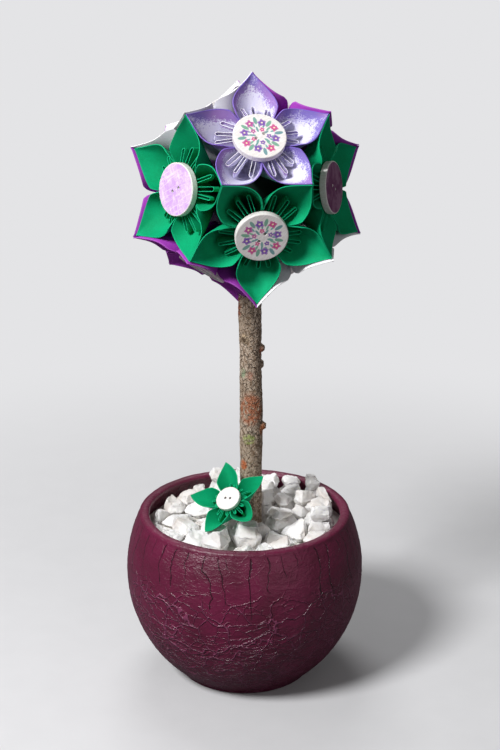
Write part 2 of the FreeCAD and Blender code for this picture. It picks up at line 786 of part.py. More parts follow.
def make_small_flower():
    """A single flower of the same make, half as large, lying on the chips by the twig's foot."""
    sizes = FlowerSizes(
        dim("small_reach"), dim("small_paper_side"), dim("small_half_width"),
        dim("small_inner_reach"), dim("small_root_length"),
        (dim("small_button_diameter") / 2, dim("small_button_thickness"), dim("small_button_sink")),
        (dim("small_frill_reach"), dim("small_frill_inner"), dim("small_frill_height"),
         dim("small_frill_drop"), dim("small_pleat_width")),
    )
    root = Vector(dim("small_root_x"), dim("small_root_y"), dim("small_root_height"))
    turn = (
        Rotation(Vector(0, 0, 1), dim("small_bearing"))
        * Rotation(Vector(0, 1, 0), dim("small_tilt"))
        * Rotation(Vector(0, 0, 1), dim("small_spin"))
    )
    placement = Placement(root, turn)
    petals = make_feature("small_flower_petals", Part.makeCompound(petals_shape(sizes)), placement)
    frill = make_feature("small_flower_frill", frill_shape(sizes), placement)
    button = make_button("small_flower_button", "small_button", "small_hole_pitch")
    button.Placement = placement.multiply(Placement(Vector(0, 0, sizes.seat), Rotation()))
    return [petals, frill, button]


# White stone chips, broken marble lying on the fill

def trimmed(outline, wall, away):
    """The part of a flat convex outline that lies on the near side of a wall facing away."""
    kept = []
    for first, second in zip(outline, outline[1:] + outline[:1]):
        first_over = (first - wall).dot(away)
        second_over = (second - wall).dot(away)
        if first_over <= 0:
            kept.append(first)
        if first_over * second_over < 0:
            kept.append(first + (second - first) * (first_over / (first_over - second_over)))
    return kept


def chip_outlines(dice, mouth):
    """Outlines of the chips seen from above: they share out the mouth round the twig."""
    trunk_middle = Vector(dim("trunk_x"), 0, 0)
    trunk_room = dim("trunk_diameter") / 2 + dim("trunk_wander") + dim("trunk_clearance")
    spots = []
    for spacing in (CHIP_WIDEST, 1.0, CHIP_NARROWEST):
        for _ in range(CHIP_TRIES):
            turn = Rotation(Vector(0, 0, 1), dice.uniform(0, 360))
            spot = turn.multVec(Vector(mouth * math.sqrt(dice.random()), 0, 0))
            least = dim("chip_width") * spacing
            if spot.distanceToPoint(trunk_middle) < trunk_room + least / 3:
                continue
            if all(spot.distanceToPoint(other) > least for other in spots):
                spots.append(spot)
    outlines = []
    for spot in spots:
        rim_turns = [Rotation(Vector(0, 0, 1), 360 / RIM_SIDES * side) for side in range(RIM_SIDES)]
        outline = [turn.multVec(Vector(mouth - dim("chip_clearance"), 0, 0)) for turn in rim_turns]
        for other in spots:
            if other is not spot:
                away = along(other - spot, 1)
                outline = trimmed(outline, (spot + other) / 2 - away * (dim("chip_clearance") / 2), away)
        away = along(trunk_middle - spot, 1)
        outlines.append(trimmed(outline, trunk_middle - away * trunk_room, away))
    return outlines


def chip_shape(dice, outline, bed, height, flat):
    """One angular chip: a bed, a wide waist that fills its outline and a smaller top."""
    middle = sum(outline, Vector()) / len(outline)
    slope = Vector() if flat else Vector(dice.uniform(-1, 1), dice.uniform(-1, 1), 0) * CHIP_SLOPE
    fall = slope.Length * max(middle.distanceToPoint(corner) for corner in outline)
    top_level = height - fall * CHIP_TOP
    rings = []
    for share, level, tilt in (
        (CHIP_BED, 0.0, 0.0), (1.0, top_level * dice.uniform(*CHIP_WAIST), 0.0), (CHIP_TOP, top_level, 1.0),
    ):
        ring = []
        for corner in outline:
            out = (corner - middle) * share * dice.uniform(CHIP_ROUGH, 1.0)
            ring.append(middle + out + Vector(0, 0, bed + level + tilt * slope.dot(out)))
        rings.append(ring)
    faces = [Part.Face(Part.makePolygon(ring + ring[:1])) for ring in (rings[0], rings[2])]
    for lower, upper in zip(rings, rings[1:]):
        for side in range(len(outline)):
            after = (side + 1) % len(outline)
            for corners in ([lower[side], lower[after], upper[side]], [lower[after], upper[after], upper[side]]):
                faces.append(Part.Face(Part.makePolygon(corners + corners[:1])))
    solid = Part.makeSolid(Part.makeShell(faces))
    if solid.Volume < 0:
        solid.reverse()
    return solid


def room_over(outline, small_flower):
    """Height of the free space between the fill and the small flower over one outline."""
    lifted = [corner + Vector(0, 0, dim("fill_level")) for corner in outline]
    column = Part.Face(Part.makePolygon(lifted + lifted[:1])).extrude(Vector(0, 0, dim("pot_height")))
    lowest = 2 * dim("pot_height")
    for piece in small_flower:
        if piece.BoundBox.intersect(column.BoundBox):
            over = piece.common(column)
            if over.Volume > 1e-6:
                lowest = min(lowest, over.optimalBoundingBox().ZMin)
    return lowest - dim("fill_level") - dim("chip_clearance")


def make_chips(small_nodes):
    """The bed of chips, heaped to the back right and up to the small flower that lies on it."""
    dice = random.Random(dim("chip_seed"))
    curve = dim("pot_curve_radius") - dim("pot_wall")
    rise = dim("pot_height") - dim("pot_belly_height")
    mouth = dim("pot_belly_radius") - dim("pot_curve_radius") + math.sqrt(curve**2 - rise**2)
    small_flower = [solid for node in small_nodes for solid in node.Shape.Solids]
    chips = []
    for outline in chip_outlines(dice, mouth):
        middle = sum(outline, Vector()) / len(outline)
        height = dim("chip_height") * dice.uniform(CHIP_LOWEST, 1.0)
        room = room_over(outline, small_flower)
        if room < dim("chip_height") * CHIP_HEAP:
            chips.append(chip_shape(dice, outline, dim("fill_level"), room, True))
            continue
        heap = (middle.x + middle.y) / mouth > dice.uniform(*HEAP_SHARE)
        chips.append(chip_shape(dice, outline, dim("fill_level"), height, heap))
        if heap:
            upper = [middle + (corner - middle) * CHIP_UPPER for corner in outline]
            tall = height * dice.uniform(CHIP_LOWEST, 1.0)
            chips.append(chip_shape(dice, upper, dim("fill_level") + height, tall, False))
    return make_feature("stone_chips", Part.makeCompound(chips), Placement())


# The whole part

pot = make_pot()
fill = make_fill()
trunk = make_trunk()
flower_sizes = ball_sizes()
plug = make_plug(trunk, flower_sizes)
small = make_small_flower()
chips = make_chips(small)
nodes = [pot, fill, trunk, plug, chips] + small + make_ball(flower_sizes)
doc.recompute()

for item in doc.Objects:
    if "Invalid" in item.State or "Error" in item.State:
        raise RuntimeError(f"{item.Name} failed: {item.State}")
for node in nodes:
    node.Label = node.Name
    if node.Shape.isNull() or not node.Shape.isValid():
        raise RuntimeError(f"{node.Name} has no valid shape")
for node in nodes:
    node.Shape.exportStep(f"parts/{node.Label}.step")
print(len(nodes), "nodes")
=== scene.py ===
import json
import logging
import math
import random
from dataclasses import dataclass, field, replace
from enum import Enum

import bmesh
import bpy
from mathutils import Matrix, Vector, noise

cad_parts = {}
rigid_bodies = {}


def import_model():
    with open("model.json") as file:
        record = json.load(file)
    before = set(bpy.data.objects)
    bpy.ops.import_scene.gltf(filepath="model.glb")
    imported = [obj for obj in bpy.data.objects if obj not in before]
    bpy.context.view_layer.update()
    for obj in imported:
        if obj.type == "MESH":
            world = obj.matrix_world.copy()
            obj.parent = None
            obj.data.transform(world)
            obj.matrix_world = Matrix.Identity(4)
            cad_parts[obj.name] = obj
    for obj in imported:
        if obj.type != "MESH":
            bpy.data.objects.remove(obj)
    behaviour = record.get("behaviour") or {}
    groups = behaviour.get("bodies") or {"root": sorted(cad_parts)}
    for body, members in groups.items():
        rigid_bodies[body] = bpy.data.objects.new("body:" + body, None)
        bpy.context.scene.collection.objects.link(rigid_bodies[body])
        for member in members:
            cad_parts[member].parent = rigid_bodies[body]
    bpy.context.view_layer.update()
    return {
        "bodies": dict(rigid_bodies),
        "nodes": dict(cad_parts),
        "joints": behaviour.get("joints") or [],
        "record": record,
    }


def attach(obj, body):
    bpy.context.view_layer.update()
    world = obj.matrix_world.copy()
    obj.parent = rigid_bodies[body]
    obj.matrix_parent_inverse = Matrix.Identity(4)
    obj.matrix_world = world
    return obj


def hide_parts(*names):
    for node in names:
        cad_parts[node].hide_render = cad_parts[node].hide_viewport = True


LOG = logging.getLogger("topiary")
MM = 0.001
Colour = tuple[float, float, float, float]
GOLDEN = (1 + math.sqrt(5)) / 2
PETALS = 5
PETAL_ANGLE = 2 * math.pi / PETALS
TIP_ANGLE = math.atan(2 * (GOLDEN - 1) / GOLDEN)


def tint(red: int, green: int, blue: int) -> Colour:
    """Turns a screen colour of 0 to 255 into the scene's linear colour.

    Args:
        red: Red of 0 to 255.
        green: Green of 0 to 255.
        blue: Blue of 0 to 255.

    Returns:
        The linear colour with full alpha.
    """
    def linear(share: float) -> float:
        """The linear value of one screen channel."""
        return share / 12.92 if share <= 0.04045 else ((share + 0.055) / 1.055) ** 2.4

    return (linear(red / 255), linear(green / 255), linear(blue / 255), 1.0)


BACKDROP = tint(228, 228, 230)


class Graph:
    """The node graph of one material."""

    def __init__(self, name: str) -> None:
        """Starts a material with its plain shader.

        Args:
            name: The material's name.
        """
        self.material = bpy.data.materials.new(name)
        self.material.use_nodes = True
        self.tree = self.material.node_tree
        self.shader = self.tree.nodes["Principled BSDF"]
        self.coordinates = self.tree.nodes.new("ShaderNodeTexCoord")

    @property
    def place(self) -> bpy.types.NodeSocket:
        """The object's own coordinates, in metres."""
        return self.coordinates.outputs["Object"]

    @property
    def sheet(self) -> bpy.types.NodeSocket:
        """The piece's own flat coordinates."""
        return self.coordinates.outputs["UV"]

    def put(self, socket: bpy.types.NodeSocket, value: object) -> None:
        """Links a socket into another, or sets its plain value."""
        if isinstance(value, bpy.types.NodeSocket):
            self.tree.links.new(value, socket)
        else:
            socket.default_value = value

    def node(self, kind: str, values: dict, **settings: object) -> bpy.types.Node:
        """Adds a node.

        Args:
            kind: The node's type without its common prefix.
            values: What goes into its inputs, by name or number.
            settings: Its own settings.

        Returns:
            The node.
        """
        made = self.tree.nodes.new("ShaderNode" + kind)
        for key, value in settings.items():
            setattr(made, key, value)
        for socket, value in values.items():
            self.put(made.inputs[socket], value)
        return made

    def math(self, operation: str, *values: object, clamp: bool = False) -> bpy.types.NodeSocket:
        """The result of one sum on sockets or numbers."""
        made = self.node("Math", dict(enumerate(values)), operation=operation, use_clamp=clamp)
        return made.outputs[0]

    def hypot(self, first: object, second: object) -> bpy.types.NodeSocket:
        """The length of two numbers taken at right angles."""
        total = self.math("ADD", self.math("MULTIPLY", first, first), self.math("MULTIPLY", second, second))
        return self.math("SQRT", total)

    def span(self, value: object, low: float, high: float) -> bpy.types.NodeSocket:
        """A smooth step from 0 at low to 1 at high."""
        made = self.node(
            "MapRange", {0: value, 1: low, 2: high, 3: 0.0, 4: 1.0}, interpolation_type="SMOOTHSTEP"
        )
        return made.outputs[0]

    def blend(self, share: object, first: object, second: object, mode: str = "MIX") -> bpy.types.NodeSocket:
        """Two colours laid over each other by share."""
        made = self.node("Mix", {0: share, 6: first, 7: second}, data_type="RGBA", blend_type=mode)
        return made.outputs[2]

    def scaled(self, vector: object, scale: tuple, place: tuple = (0, 0, 0)) -> bpy.types.NodeSocket:
        """Coordinates stretched by a scale for each axis."""
        return self.node("Mapping", {"Vector": vector, "Scale": scale, "Location": place}).outputs[0]

    def pushed(self, scale: float, detail: float, far: float) -> bpy.types.NodeSocket:
        """The object's coordinates, pushed about by a noise, far in metres."""
        values = {"Vector": self.place, "Scale": scale, "Detail": detail}
        push = self.node("TexNoise", values).outputs["Color"]
        push = self.node("VectorMath", {0: push, 3: far}, operation="SCALE").outputs[0]
        return self.node("VectorMath", {0: self.place, 1: push}).outputs[0]

    def within(self, matrix: Matrix) -> bpy.types.NodeSocket:
        """Coordinates in millimetres in the axes that a matrix places.

        Args:
            matrix: The place and turn of the axes.

        Returns:
            The socket of those coordinates.
        """
        made = self.node(
            "Mapping",
            {
                "Vector": self.place,
                "Location": matrix.to_translation(),
                "Rotation": matrix.to_euler("XYZ"),
                "Scale": (MM, MM, MM),
            },
            vector_type="TEXTURE",
        )
        return made.outputs[0]

    def parts(self, vector: object) -> list:
        """The three numbers of a vector."""
        return list(self.node("SeparateXYZ", {0: vector}).outputs)

    def noise(self, vector: object, scale: float, detail: float = 4, rough: float = 0.55, warp: float = 0):
        """Cloudy noise of 0 to 1."""
        values = {"Vector": vector, "Scale": scale, "Detail": detail, "Roughness": rough, "Distortion": warp}
        return self.node("TexNoise", values).outputs[0]

    def chance(self, value: object) -> bpy.types.NodeSocket:
        """A random number of 0 to 1 for each whole number below a value."""
        whole = self.math("FLOOR", value)
        return self.node("TexWhiteNoise", {"W": whole}, noise_dimensions="1D").outputs[0]

    def cells(self, vector: object, scale: float, feature: str = "DISTANCE_TO_EDGE", jitter: float = 1.0):
        """Distance in a net of cells."""
        values = {"Vector": vector, "Scale": scale, "Randomness": jitter}
        return self.node("TexVoronoi", values, feature=feature).outputs["Distance"]

    def relief(self, height: object, depth: float, strength: float = 1.0, under: object = None):
        """A normal that follows a height, depth in metres."""
        values = {"Height": height, "Distance": depth, "Strength": strength}
        if under is not None:
            values["Normal"] = under
        return self.node("Bump", values).outputs[0]

    def finish(self, **values: object) -> bpy.types.Material:
        """Sets the shader's sockets, with spaces written as underscores, and gives the material."""
        for key, value in values.items():
            self.put(self.shader.inputs[key.replace("_", " ")], value)
        return self.material


# Finishes

@dataclass(frozen=True)
class PaperFinish:
    """Coloured craft paper, with pencil shading on some sheets and painted shade deep in the cups of some.
    """

    name: str
    face: Colour
    deep: Colour
    # The rim line's colour: pencil on the lilac petals, a painted highlight on the others.
    edge: Colour
    pencil: Colour | None = None
    flush: Colour | None = None
    cover: float = 1.0
    rim_pencil_highlight_strength: float = 0.5
    # Strength of the painted shade deep in the cups.
    cup_painted_shade: float = 0.0

    def build(self) -> bpy.types.Material:
        """The paper with its fibres, painted shade deep in its cups, its pencil strokes and its rim line:
        pencil on the lilac petals, a painted highlight on the other sheets.
        """
        graph = Graph(self.name)
        clouds = graph.noise(graph.place, 60.0, 5)
        speckle = graph.noise(graph.place, 1400.0, 3, 0.7)
        share = graph.math("MULTIPLY_ADD", speckle, 0.5, graph.math("MULTIPLY", clouds, 0.7))
        colour = graph.blend(graph.span(share, 0.45, 0.8), self.face, self.deep)
        _, along, _ = graph.parts(graph.sheet)
        # Painted shade: towards the root the paper is blended towards black, as the shade deep in each cup.
        cup_shade_mask = graph.math("MULTIPLY", graph.span(along, 0.62, 0.12), self.cup_painted_shade)
        colour = graph.blend(cup_shade_mask, colour, (0.0, 0.0, 0.0, 1.0))
        if self.pencil:
            colour = self.scribble(graph, along, colour)
        # Rim line: pencil on the lilac petals, a painted highlight along the rim on the other sheets and on
        # the pleat crests.
        rim_pencil_highlight_mask = graph.span(along, 0.978, 0.99)
        colour = graph.blend(graph.math("MULTIPLY", rim_pencil_highlight_mask, self.rim_pencil_highlight_strength), colour, self.edge)
        fibres = graph.noise(graph.place, 2600.0, 3, 0.6)
        normal = graph.relief(fibres, 0.00005, 0.45)
        return graph.finish(Base_Color=colour, Roughness=0.78, Specular_IOR_Level=0.16, Normal=normal)

    def scribble(self, graph: Graph, along: object, colour: object) -> bpy.types.NodeSocket:
        """Pencil shading that thins out from the rim, in fine strokes.

        Args:
            graph: The material's graph.
            along: Share of the way from the petal's root to its rim.
            colour: The paper under it.

        Returns:
            The shaded colour.
        """
        strokes = graph.span(graph.noise(graph.scaled(graph.sheet, (22, 70, 1)), 1.0, 4, 0.7, 0.4), 0.3, 0.7)
        crossed = graph.noise(graph.scaled(graph.sheet, (110, 24, 1), (3, 7, 0)), 1.0, 4, 0.7, 0.4)
        crossed = graph.span(crossed, 0.3, 0.7)
        grain = graph.span(graph.noise(graph.place, 1000.0, 4, 0.85), 0.36, 0.64)
        patches = graph.noise(graph.place, 62.0, 3)
        rim = graph.span(along, 0.56, 1.1)
        load = graph.math("MULTIPLY", rim, graph.math("MULTIPLY_ADD", patches, 2.4, -0.2))
        load = graph.math("MULTIPLY", load, self.cover)
        rough = graph.math("MULTIPLY_ADD", strokes, 0.36, graph.math("MULTIPLY", grain, 0.36))
        rough = graph.math("MULTIPLY_ADD", crossed, 0.28, rough)
        mask = graph.span(graph.math("SUBTRACT", load, rough), -0.1, 0.12)
        haze = graph.math("MULTIPLY", graph.span(load, 0.2, 1.0), 0.16)
        mask = graph.math("MAXIMUM", mask, haze)
        hue = graph.span(graph.noise(graph.place, 45.0, 2), 0.42, 0.6)
        shade = graph.blend(hue, self.pencil, self.flush or self.pencil)
        return graph.blend(graph.math("MULTIPLY", mask, 0.8), colour, shade)

    def pleated(self) -> "PaperFinish":
        """The same paper folded into pleats, with a painted highlight along their crests."""
        # Painted highlight: on pencil-shaded paper the crests take the paper's colour lifted most of the way
        # to white, on the others the rim highlight colour.
        crest_highlight = tuple(channel + (1 - channel) * 0.75 for channel in self.face[:3]) + (1.0,)
        pale = crest_highlight if self.pencil else self.edge
        cover = 0.62 * self.cover
        return replace(self, name=self.name + "_pleats", edge=pale, cover=cover, rim_pencil_highlight_strength=0.9)


class Print(Enum):
    """What a button's face is painted with."""

    WREATH = "wreath"
    WASH = "wash"
    PLUM = "plum"
    PLAIN = "plain"


@dataclass(frozen=True)
class ButtonFinish:
    """A painted wooden button in its own axes."""

    name: str
    motif: Print
    matrix: Matrix
    radius: float
    thickness: float

    def build(self) -> bpy.types.Material:
        """White painted wood with the motif on its face."""
        graph = Graph(self.name)
        local = graph.within(self.matrix)
        x, y, z = graph.parts(local)
        wood = graph.noise(graph.scaled(local, (0.35, 2.2, 0.35)), 1.0, 4)
        white = graph.blend(graph.span(wood, 0.3, 0.8), tint(246, 243, 242), tint(226, 219, 214))
        far = graph.hypot(x, y)
        face = graph.math("MULTIPLY", graph.span(z, self.thickness - 0.35, self.thickness - 0.1),
                          graph.span(far, self.radius - 0.5, self.radius - 0.75))
        if self.motif is Print.WREATH:
            colour = self.wreath(graph, local, x, y, far, white)
        elif self.motif is Print.WASH:
            colour = self.wash(graph, local, tint(212, 168, 240), tint(246, 232, 252), 0.5)
        elif self.motif is Print.PLUM:
            colour = self.wash(graph, local, tint(118, 56, 104), tint(196, 156, 184), 0.68)
        else:
            colour = white
        colour = graph.blend(face, white, colour)
        ripple = graph.noise(local, 1.4, 3)
        normal = graph.relief(ripple, 0.00008, 0.35)
        return graph.finish(
            Base_Color=colour, Roughness=0.45, Specular_IOR_Level=0.35, Normal=normal,
            Coat_Weight=0.1, Coat_Roughness=0.35,
        )

    def wreath(self, graph: Graph, local: object, x: object, y: object, far: object, white: object):
        """A wreath of small flowers and leaves, brushed on white.

        Args:
            graph: The material's graph.
            local: The button's coordinates in millimetres.
            x: Their first number.
            y: Their second number.
            far: Distance from the button's middle.
            white: The ground colour.

        Returns:
            The painted colour.
        """
        turn = graph.math("ARCTAN2", y, x)
        wobble = graph.math("MULTIPLY_ADD", graph.noise(local, 0.9, 3), 1.0, -0.5)
        colour = white
        for count, offset, ring, (wide, tall), colours in (
            (8, 0.5, 10.2, (1.1, 2.6), (tint(28, 132, 140), tint(70, 160, 120))),
            (8, 0.22, 8.0, (0.6, 2.2), (tint(60, 160, 160), tint(40, 128, 140))),
            (8, 0.78, 7.4, (0.6, 2.0), (tint(44, 136, 148), tint(90, 172, 130))),
            (5, 0.5, 4.4, (0.7, 2.0), (tint(60, 156, 146), tint(40, 130, 140))),
        ):
            across, out, own = self.sector(graph, turn, far, count, offset, ring, wobble)
            leaf = graph.hypot(graph.math("DIVIDE", across, wide), graph.math("DIVIDE", out, tall))
            colour = graph.blend(graph.math("MULTIPLY", graph.span(leaf, 1.1, 0.8), 0.8), colour,
                                 graph.blend(own, *colours))
        for count, offset, ring, size, colours in (
            (8, 0.0, 9.4, 2.7, (tint(208, 44, 134), tint(118, 62, 176))),
            (5, 0.0, 4.6, 1.7, (tint(112, 58, 172), tint(214, 66, 146))),
        ):
            across, out, own = self.sector(graph, turn, far, count, offset, ring, wobble)
            spread = graph.hypot(graph.math("DIVIDE", across, size), graph.math("DIVIDE", out, size))
            spin = graph.math("MULTIPLY_ADD", own, 6.3, graph.math("ARCTAN2", out, across))
            lobes = graph.math("COSINE", graph.math("MULTIPLY", spin, 5.0))
            lobes = graph.math("MULTIPLY_ADD", lobes, 0.2, 0.82)
            bloom = graph.span(graph.math("SUBTRACT", lobes, spread), -0.06, 0.1)
            hue = graph.blend(graph.span(own, 0.4, 0.6), *colours)
            pale = graph.math("MULTIPLY", graph.span(spread, 0.45, 0.95), 0.35)
            hue = graph.blend(pale, hue, tint(246, 200, 232))
            colour = graph.blend(graph.math("MULTIPLY", bloom, 0.92), colour, hue)
            colour = graph.blend(graph.span(spread, 0.26, 0.14), colour, tint(250, 236, 190))
        return colour

    def sector(
        self, graph: Graph, turn: object, far: object, count: int, offset: float, ring: float, wobble: object
    ) -> tuple:
        """Axes of one painted motif that is repeated round the button.

        Args:
            graph: The material's graph.
            turn: Bearing on the button's face, in radians.
            far: Distance from its middle.
            count: How often the motif comes.
            offset: Shift of the motifs, as a share of their spacing.
            ring: Distance of the motifs from the middle.
            wobble: Noise that makes them look brushed by hand.

        Returns:
            The way across, the way out and the motif's own random number.
        """
        sector = graph.math("MULTIPLY_ADD", turn, count / (2 * math.pi), 2 * count + 0.5 + offset)
        own = graph.chance(sector)
        side = graph.math("SUBTRACT", graph.math("FRACT", sector), 0.5)
        across = graph.math("MULTIPLY", graph.math("MULTIPLY", side, far), 2 * math.pi / count)
        across = graph.math("MULTIPLY_ADD", wobble, 0.5, across)
        shift = graph.math("MULTIPLY_ADD", own, 1.4, -0.7)
        out = graph.math("ADD", graph.math("SUBTRACT", far, ring), shift)
        return across, graph.math("MULTIPLY_ADD", wobble, -0.5, out), own

    def wash(self, graph: Graph, local: object, ground: Colour, streak: Colour, least: float):
        """A thin colour wash with soft clouds and a few paler brush strokes."""
        cloud = graph.span(graph.noise(local, 0.14, 4, 0.6, 1.0), 0.4, 0.66)
        brush = graph.noise(graph.scaled(local, (0.1, 0.7, 1.0)), 1.0, 4, 0.6, 1.2)
        crossed = graph.noise(graph.scaled(local, (0.9, 0.13, 1.0), (5, 3, 0)), 1.0, 4, 0.6, 1.0)
        brush = graph.span(brush, least, least + 0.14)
        lines = graph.math("MAXIMUM", brush, graph.span(crossed, least, least + 0.12))
        cover = graph.math("MULTIPLY_ADD", cloud, 0.4, graph.math("MULTIPLY", lines, 0.5))
        return graph.blend(cover, ground, streak)


@dataclass(frozen=True)
class GlazeFinish:
    """The pot's plum glaze, crackled over a wrinkled coat."""

    name: str = "plum_glaze"
    split_count: int = 44
    light: Colour = tint(108, 22, 60)
    dark: Colour = tint(84, 12, 42)

    def build(self) -> bpy.types.Material:
        """The glaze with its cracks, wrinkles and worn sheen, painted highlights on the wrinkle ridges and
        painted glints in its fine grain.
        """
        graph = Graph(self.name)
        x, y, height = graph.parts(graph.place)
        moved = graph.pushed(90.0, 3.0, 0.009)
        top = graph.span(height, 0.07, 0.086)
        low = graph.span(height, 0.066, 0.036)
        split = self.splits(graph, x, y, height)
        under = graph.math("SUBTRACT", 1.0, graph.math("MULTIPLY", top, 0.9))
        net = graph.span(graph.cells(graph.scaled(moved, (1, 1, 1.2)), 58.0), 0.045, 0.0)
        small = graph.span(graph.cells(graph.scaled(moved, (1, 1, 1.6), (0.3, 0.2, 0)), 105.0), 0.06, 0.0)
        patchy = graph.noise(graph.scaled(graph.place, (1, 1, 1), (0.2, 0.1, 0)), 42.0, 2)
        small = graph.math("MULTIPLY", small, graph.span(patchy, 0.4, 0.54))
        folds = graph.math("MAXIMUM", net, graph.math("MULTIPLY", small, 0.8))
        folds = graph.math("MULTIPLY", folds, under)
        flat_net = graph.cells(graph.scaled(moved, (0.7, 0.7, 2.6)), 90.0)
        fine = graph.span(flat_net, 0.09, 0.0)
        fine = graph.math("MULTIPLY", fine, graph.math("MULTIPLY_ADD", low, 0.8, 0.1))
        ridges = graph.math("ADD", graph.math("MULTIPLY", folds, 0.9), graph.math("MULTIPLY", fine, 0.6))
        wrinkles = graph.noise(graph.scaled(moved, (1, 1, 2.2)), 190.0, 4, 0.6, 0.6)
        skin = graph.noise(graph.place, 1500.0, 3, 0.6)
        clouds = graph.noise(graph.place, 42.0, 5)
        colour = graph.blend(graph.span(clouds, 0.3, 0.75), self.light, self.dark)
        # Painted highlight: fine flecks of the grain are lifted to a paler plum, as glints of the glossy
        # glaze.
        painted_glints = graph.math("MULTIPLY", graph.span(skin, 0.52, 0.7), 0.2)
        colour = graph.blend(painted_glints, colour, tint(128, 54, 90))
        colour = graph.blend(graph.math("MULTIPLY", split, 0.8), colour, tint(34, 4, 16))
        # Painted highlight: the raised ridges of the wrinkle net are lightened, as if catching the light.
        crest_highlight = graph.math("MULTIPLY", graph.span(ridges, 0.3, 0.8), 0.55)
        colour = graph.blend(crest_highlight, colour, tint(150, 76, 112))
        soft = graph.relief(wrinkles, 0.0012, graph.math("MULTIPLY_ADD", low, 0.5, 0.4))
        raised = graph.relief(ridges, 0.001, 1.0, soft)
        opened = graph.relief(graph.math("MULTIPLY", split, -1.0), 0.0007, 0.9, raised)
        normal = graph.relief(skin, 0.0002, 0.8, opened)
        rough = graph.math("MULTIPLY_ADD", clouds, 0.2, 0.26)
        return graph.finish(Base_Color=colour, Roughness=rough, Specular_IOR_Level=0.6, Normal=normal)

    def splits(self, graph: Graph, x: object, y: object, height: object) -> bpy.types.NodeSocket:
        """Fine upright splits that run down from under the lip.

        Args:
            graph: The material's graph.
            x: First number of the place on the pot.
            y: Second number of the place on the pot.
            height: Height over the pot's foot.

        Returns:
            A mask that is 1 in the splits.
        """
        sway = graph.noise(graph.place, 38.0, 2)
        shake = graph.noise(graph.place, 240.0, 3, 0.6)
        bearing = graph.math("ARCTAN2", y, x)
        sector = graph.math("MULTIPLY_ADD", bearing, self.split_count / (2 * math.pi), 90.0)
        push = graph.math("MULTIPLY_ADD", sway, 1.8, graph.math("MULTIPLY", shake, 0.2))
        sector = graph.math("ADD", sector, push)
        own = graph.chance(sector)
        middle = graph.math("MULTIPLY_ADD", own, 0.5, 0.25)
        side = graph.math("SUBTRACT", graph.math("FRACT", sector), middle)
        other = graph.math("FRACT", graph.math("MULTIPLY", own, 7.0))
        end = graph.math("MULTIPLY_ADD", other, -0.034, 0.1)
        down = graph.math("DIVIDE", graph.math("SUBTRACT", height, end), 0.02)
        taper = graph.math("MINIMUM", graph.math("MAXIMUM", down, 0.0), 1.0)
        width = graph.math("MULTIPLY_ADD", taper, 0.02, 0.014)
        line = graph.span(graph.math("DIVIDE", graph.math("ABSOLUTE", side), width), 1.5, 0.5)
        reach = graph.math("MULTIPLY", graph.span(down, 0.0, 0.15), graph.span(height, 0.1045, 0.103))
        return graph.math("MULTIPLY", line, reach)


@dataclass(frozen=True)
class BarkFinish:
    """Grey brown bark with rusty patches and lichen.

    Each stain has its middle and its size in millimetres, its strength and its colour.
    """

    name: str = "twig_bark"
    stains: tuple = (
        ((-0.9, -6.3, 219.0), (4.0, 3.4, 3.8), 0.7, tint(206, 182, 150)),
        ((-0.9, -6.3, 219.0), (2.2, 3.0, 2.0), 0.9, tint(70, 52, 38)),
        ((3.7, -6.5, 175.0), (9.0, 6.0, 11.0), 0.75, tint(178, 96, 56)),
        ((10.5, -2.0, 161.0), (4.0, 4.0, 4.5), 0.85, tint(190, 108, 60)),
        ((10.5, -1.0, 211.0), (3.0, 4.0, 4.0), 0.7, tint(164, 84, 56)),
        ((-1.5, -5.5, 138.0), (3.5, 3.5, 4.0), 0.85, tint(206, 112, 66)),
        ((-3.0, -1.0, 238.0), (2.5, 5.0, 7.0), 0.7, tint(170, 84, 48)),
        ((3.0, -6.5, 196.0), (3.5, 3.0, 3.0), 0.5, tint(196, 130, 110)),
        ((-2.0, -5.5, 197.5), (3.2, 3.0, 4.0), 0.8, tint(142, 164, 130)),
        ((2.0, -7.0, 155.5), (5.0, 3.0, 3.6), 0.85, tint(158, 172, 98)),
        ((3.7, 7.0, 182.0), (6.0, 3.0, 9.0), 0.6, tint(150, 160, 104)),
        ((5.0, 6.0, 122.0), (6.0, 4.0, 12.0), 0.7, tint(172, 98, 60)),
    )

    def build(self) -> bpy.types.Material:
        """The bark with its cracks, flecks and lichen."""
        graph = Graph(self.name)
        moved = graph.pushed(260.0, 2.0, 0.003)
        plates = graph.cells(graph.scaled(moved, (1, 1, 0.75)), 330.0)
        cracks = graph.span(plates, 0.1, 0.0)
        grain = graph.noise(graph.scaled(graph.place, (1, 1, 0.8)), 620.0, 6, 0.72)
        flecks = graph.noise(graph.place, 1100.0, 5, 0.7)
        broad = graph.noise(graph.place, 75.0, 3)
        worn = graph.math("MULTIPLY", cracks, graph.span(broad, 0.38, 0.56))
        colour = graph.blend(graph.span(grain, 0.36, 0.62), tint(128, 104, 82), tint(216, 198, 178))
        for mask, strength, shade in (
            (graph.span(broad, 0.62, 0.42), 0.35, tint(136, 114, 90)),
            (graph.span(flecks, 0.56, 0.7), 0.7, tint(222, 212, 200)),
            (worn, 0.7, tint(52, 38, 30)),
            (graph.span(flecks, 0.4, 0.28), 0.75, tint(48, 36, 28)),
        ):
            colour = graph.blend(graph.math("MULTIPLY", mask, strength), colour, shade)
        ragged = graph.span(graph.noise(graph.place, 300.0, 4, 0.7), 0.38, 0.54)
        for middle, size, strength, stain in self.stains:
            near = graph.node("VectorMath", {0: graph.place, 1: tuple(MM * value for value in middle)},
                              operation="SUBTRACT").outputs[0]
            near = graph.scaled(near, tuple(1 / (MM * value) for value in size))
            near = graph.node("VectorMath", {0: near}, operation="LENGTH").outputs["Value"]
            share = graph.math("MULTIPLY", graph.span(near, 1.15, 0.6), ragged)
            colour = graph.blend(graph.math("MULTIPLY", share, strength), colour, stain)
        low = graph.relief(grain, 0.001, 0.9)
        cut = graph.relief(graph.math("MULTIPLY", cracks, -1.0), 0.0007, 0.7, low)
        normal = graph.relief(flecks, 0.0005, 0.6, cut)
        return graph.finish(Base_Color=colour, Roughness=0.85, Specular_IOR_Level=0.2, Normal=normal)


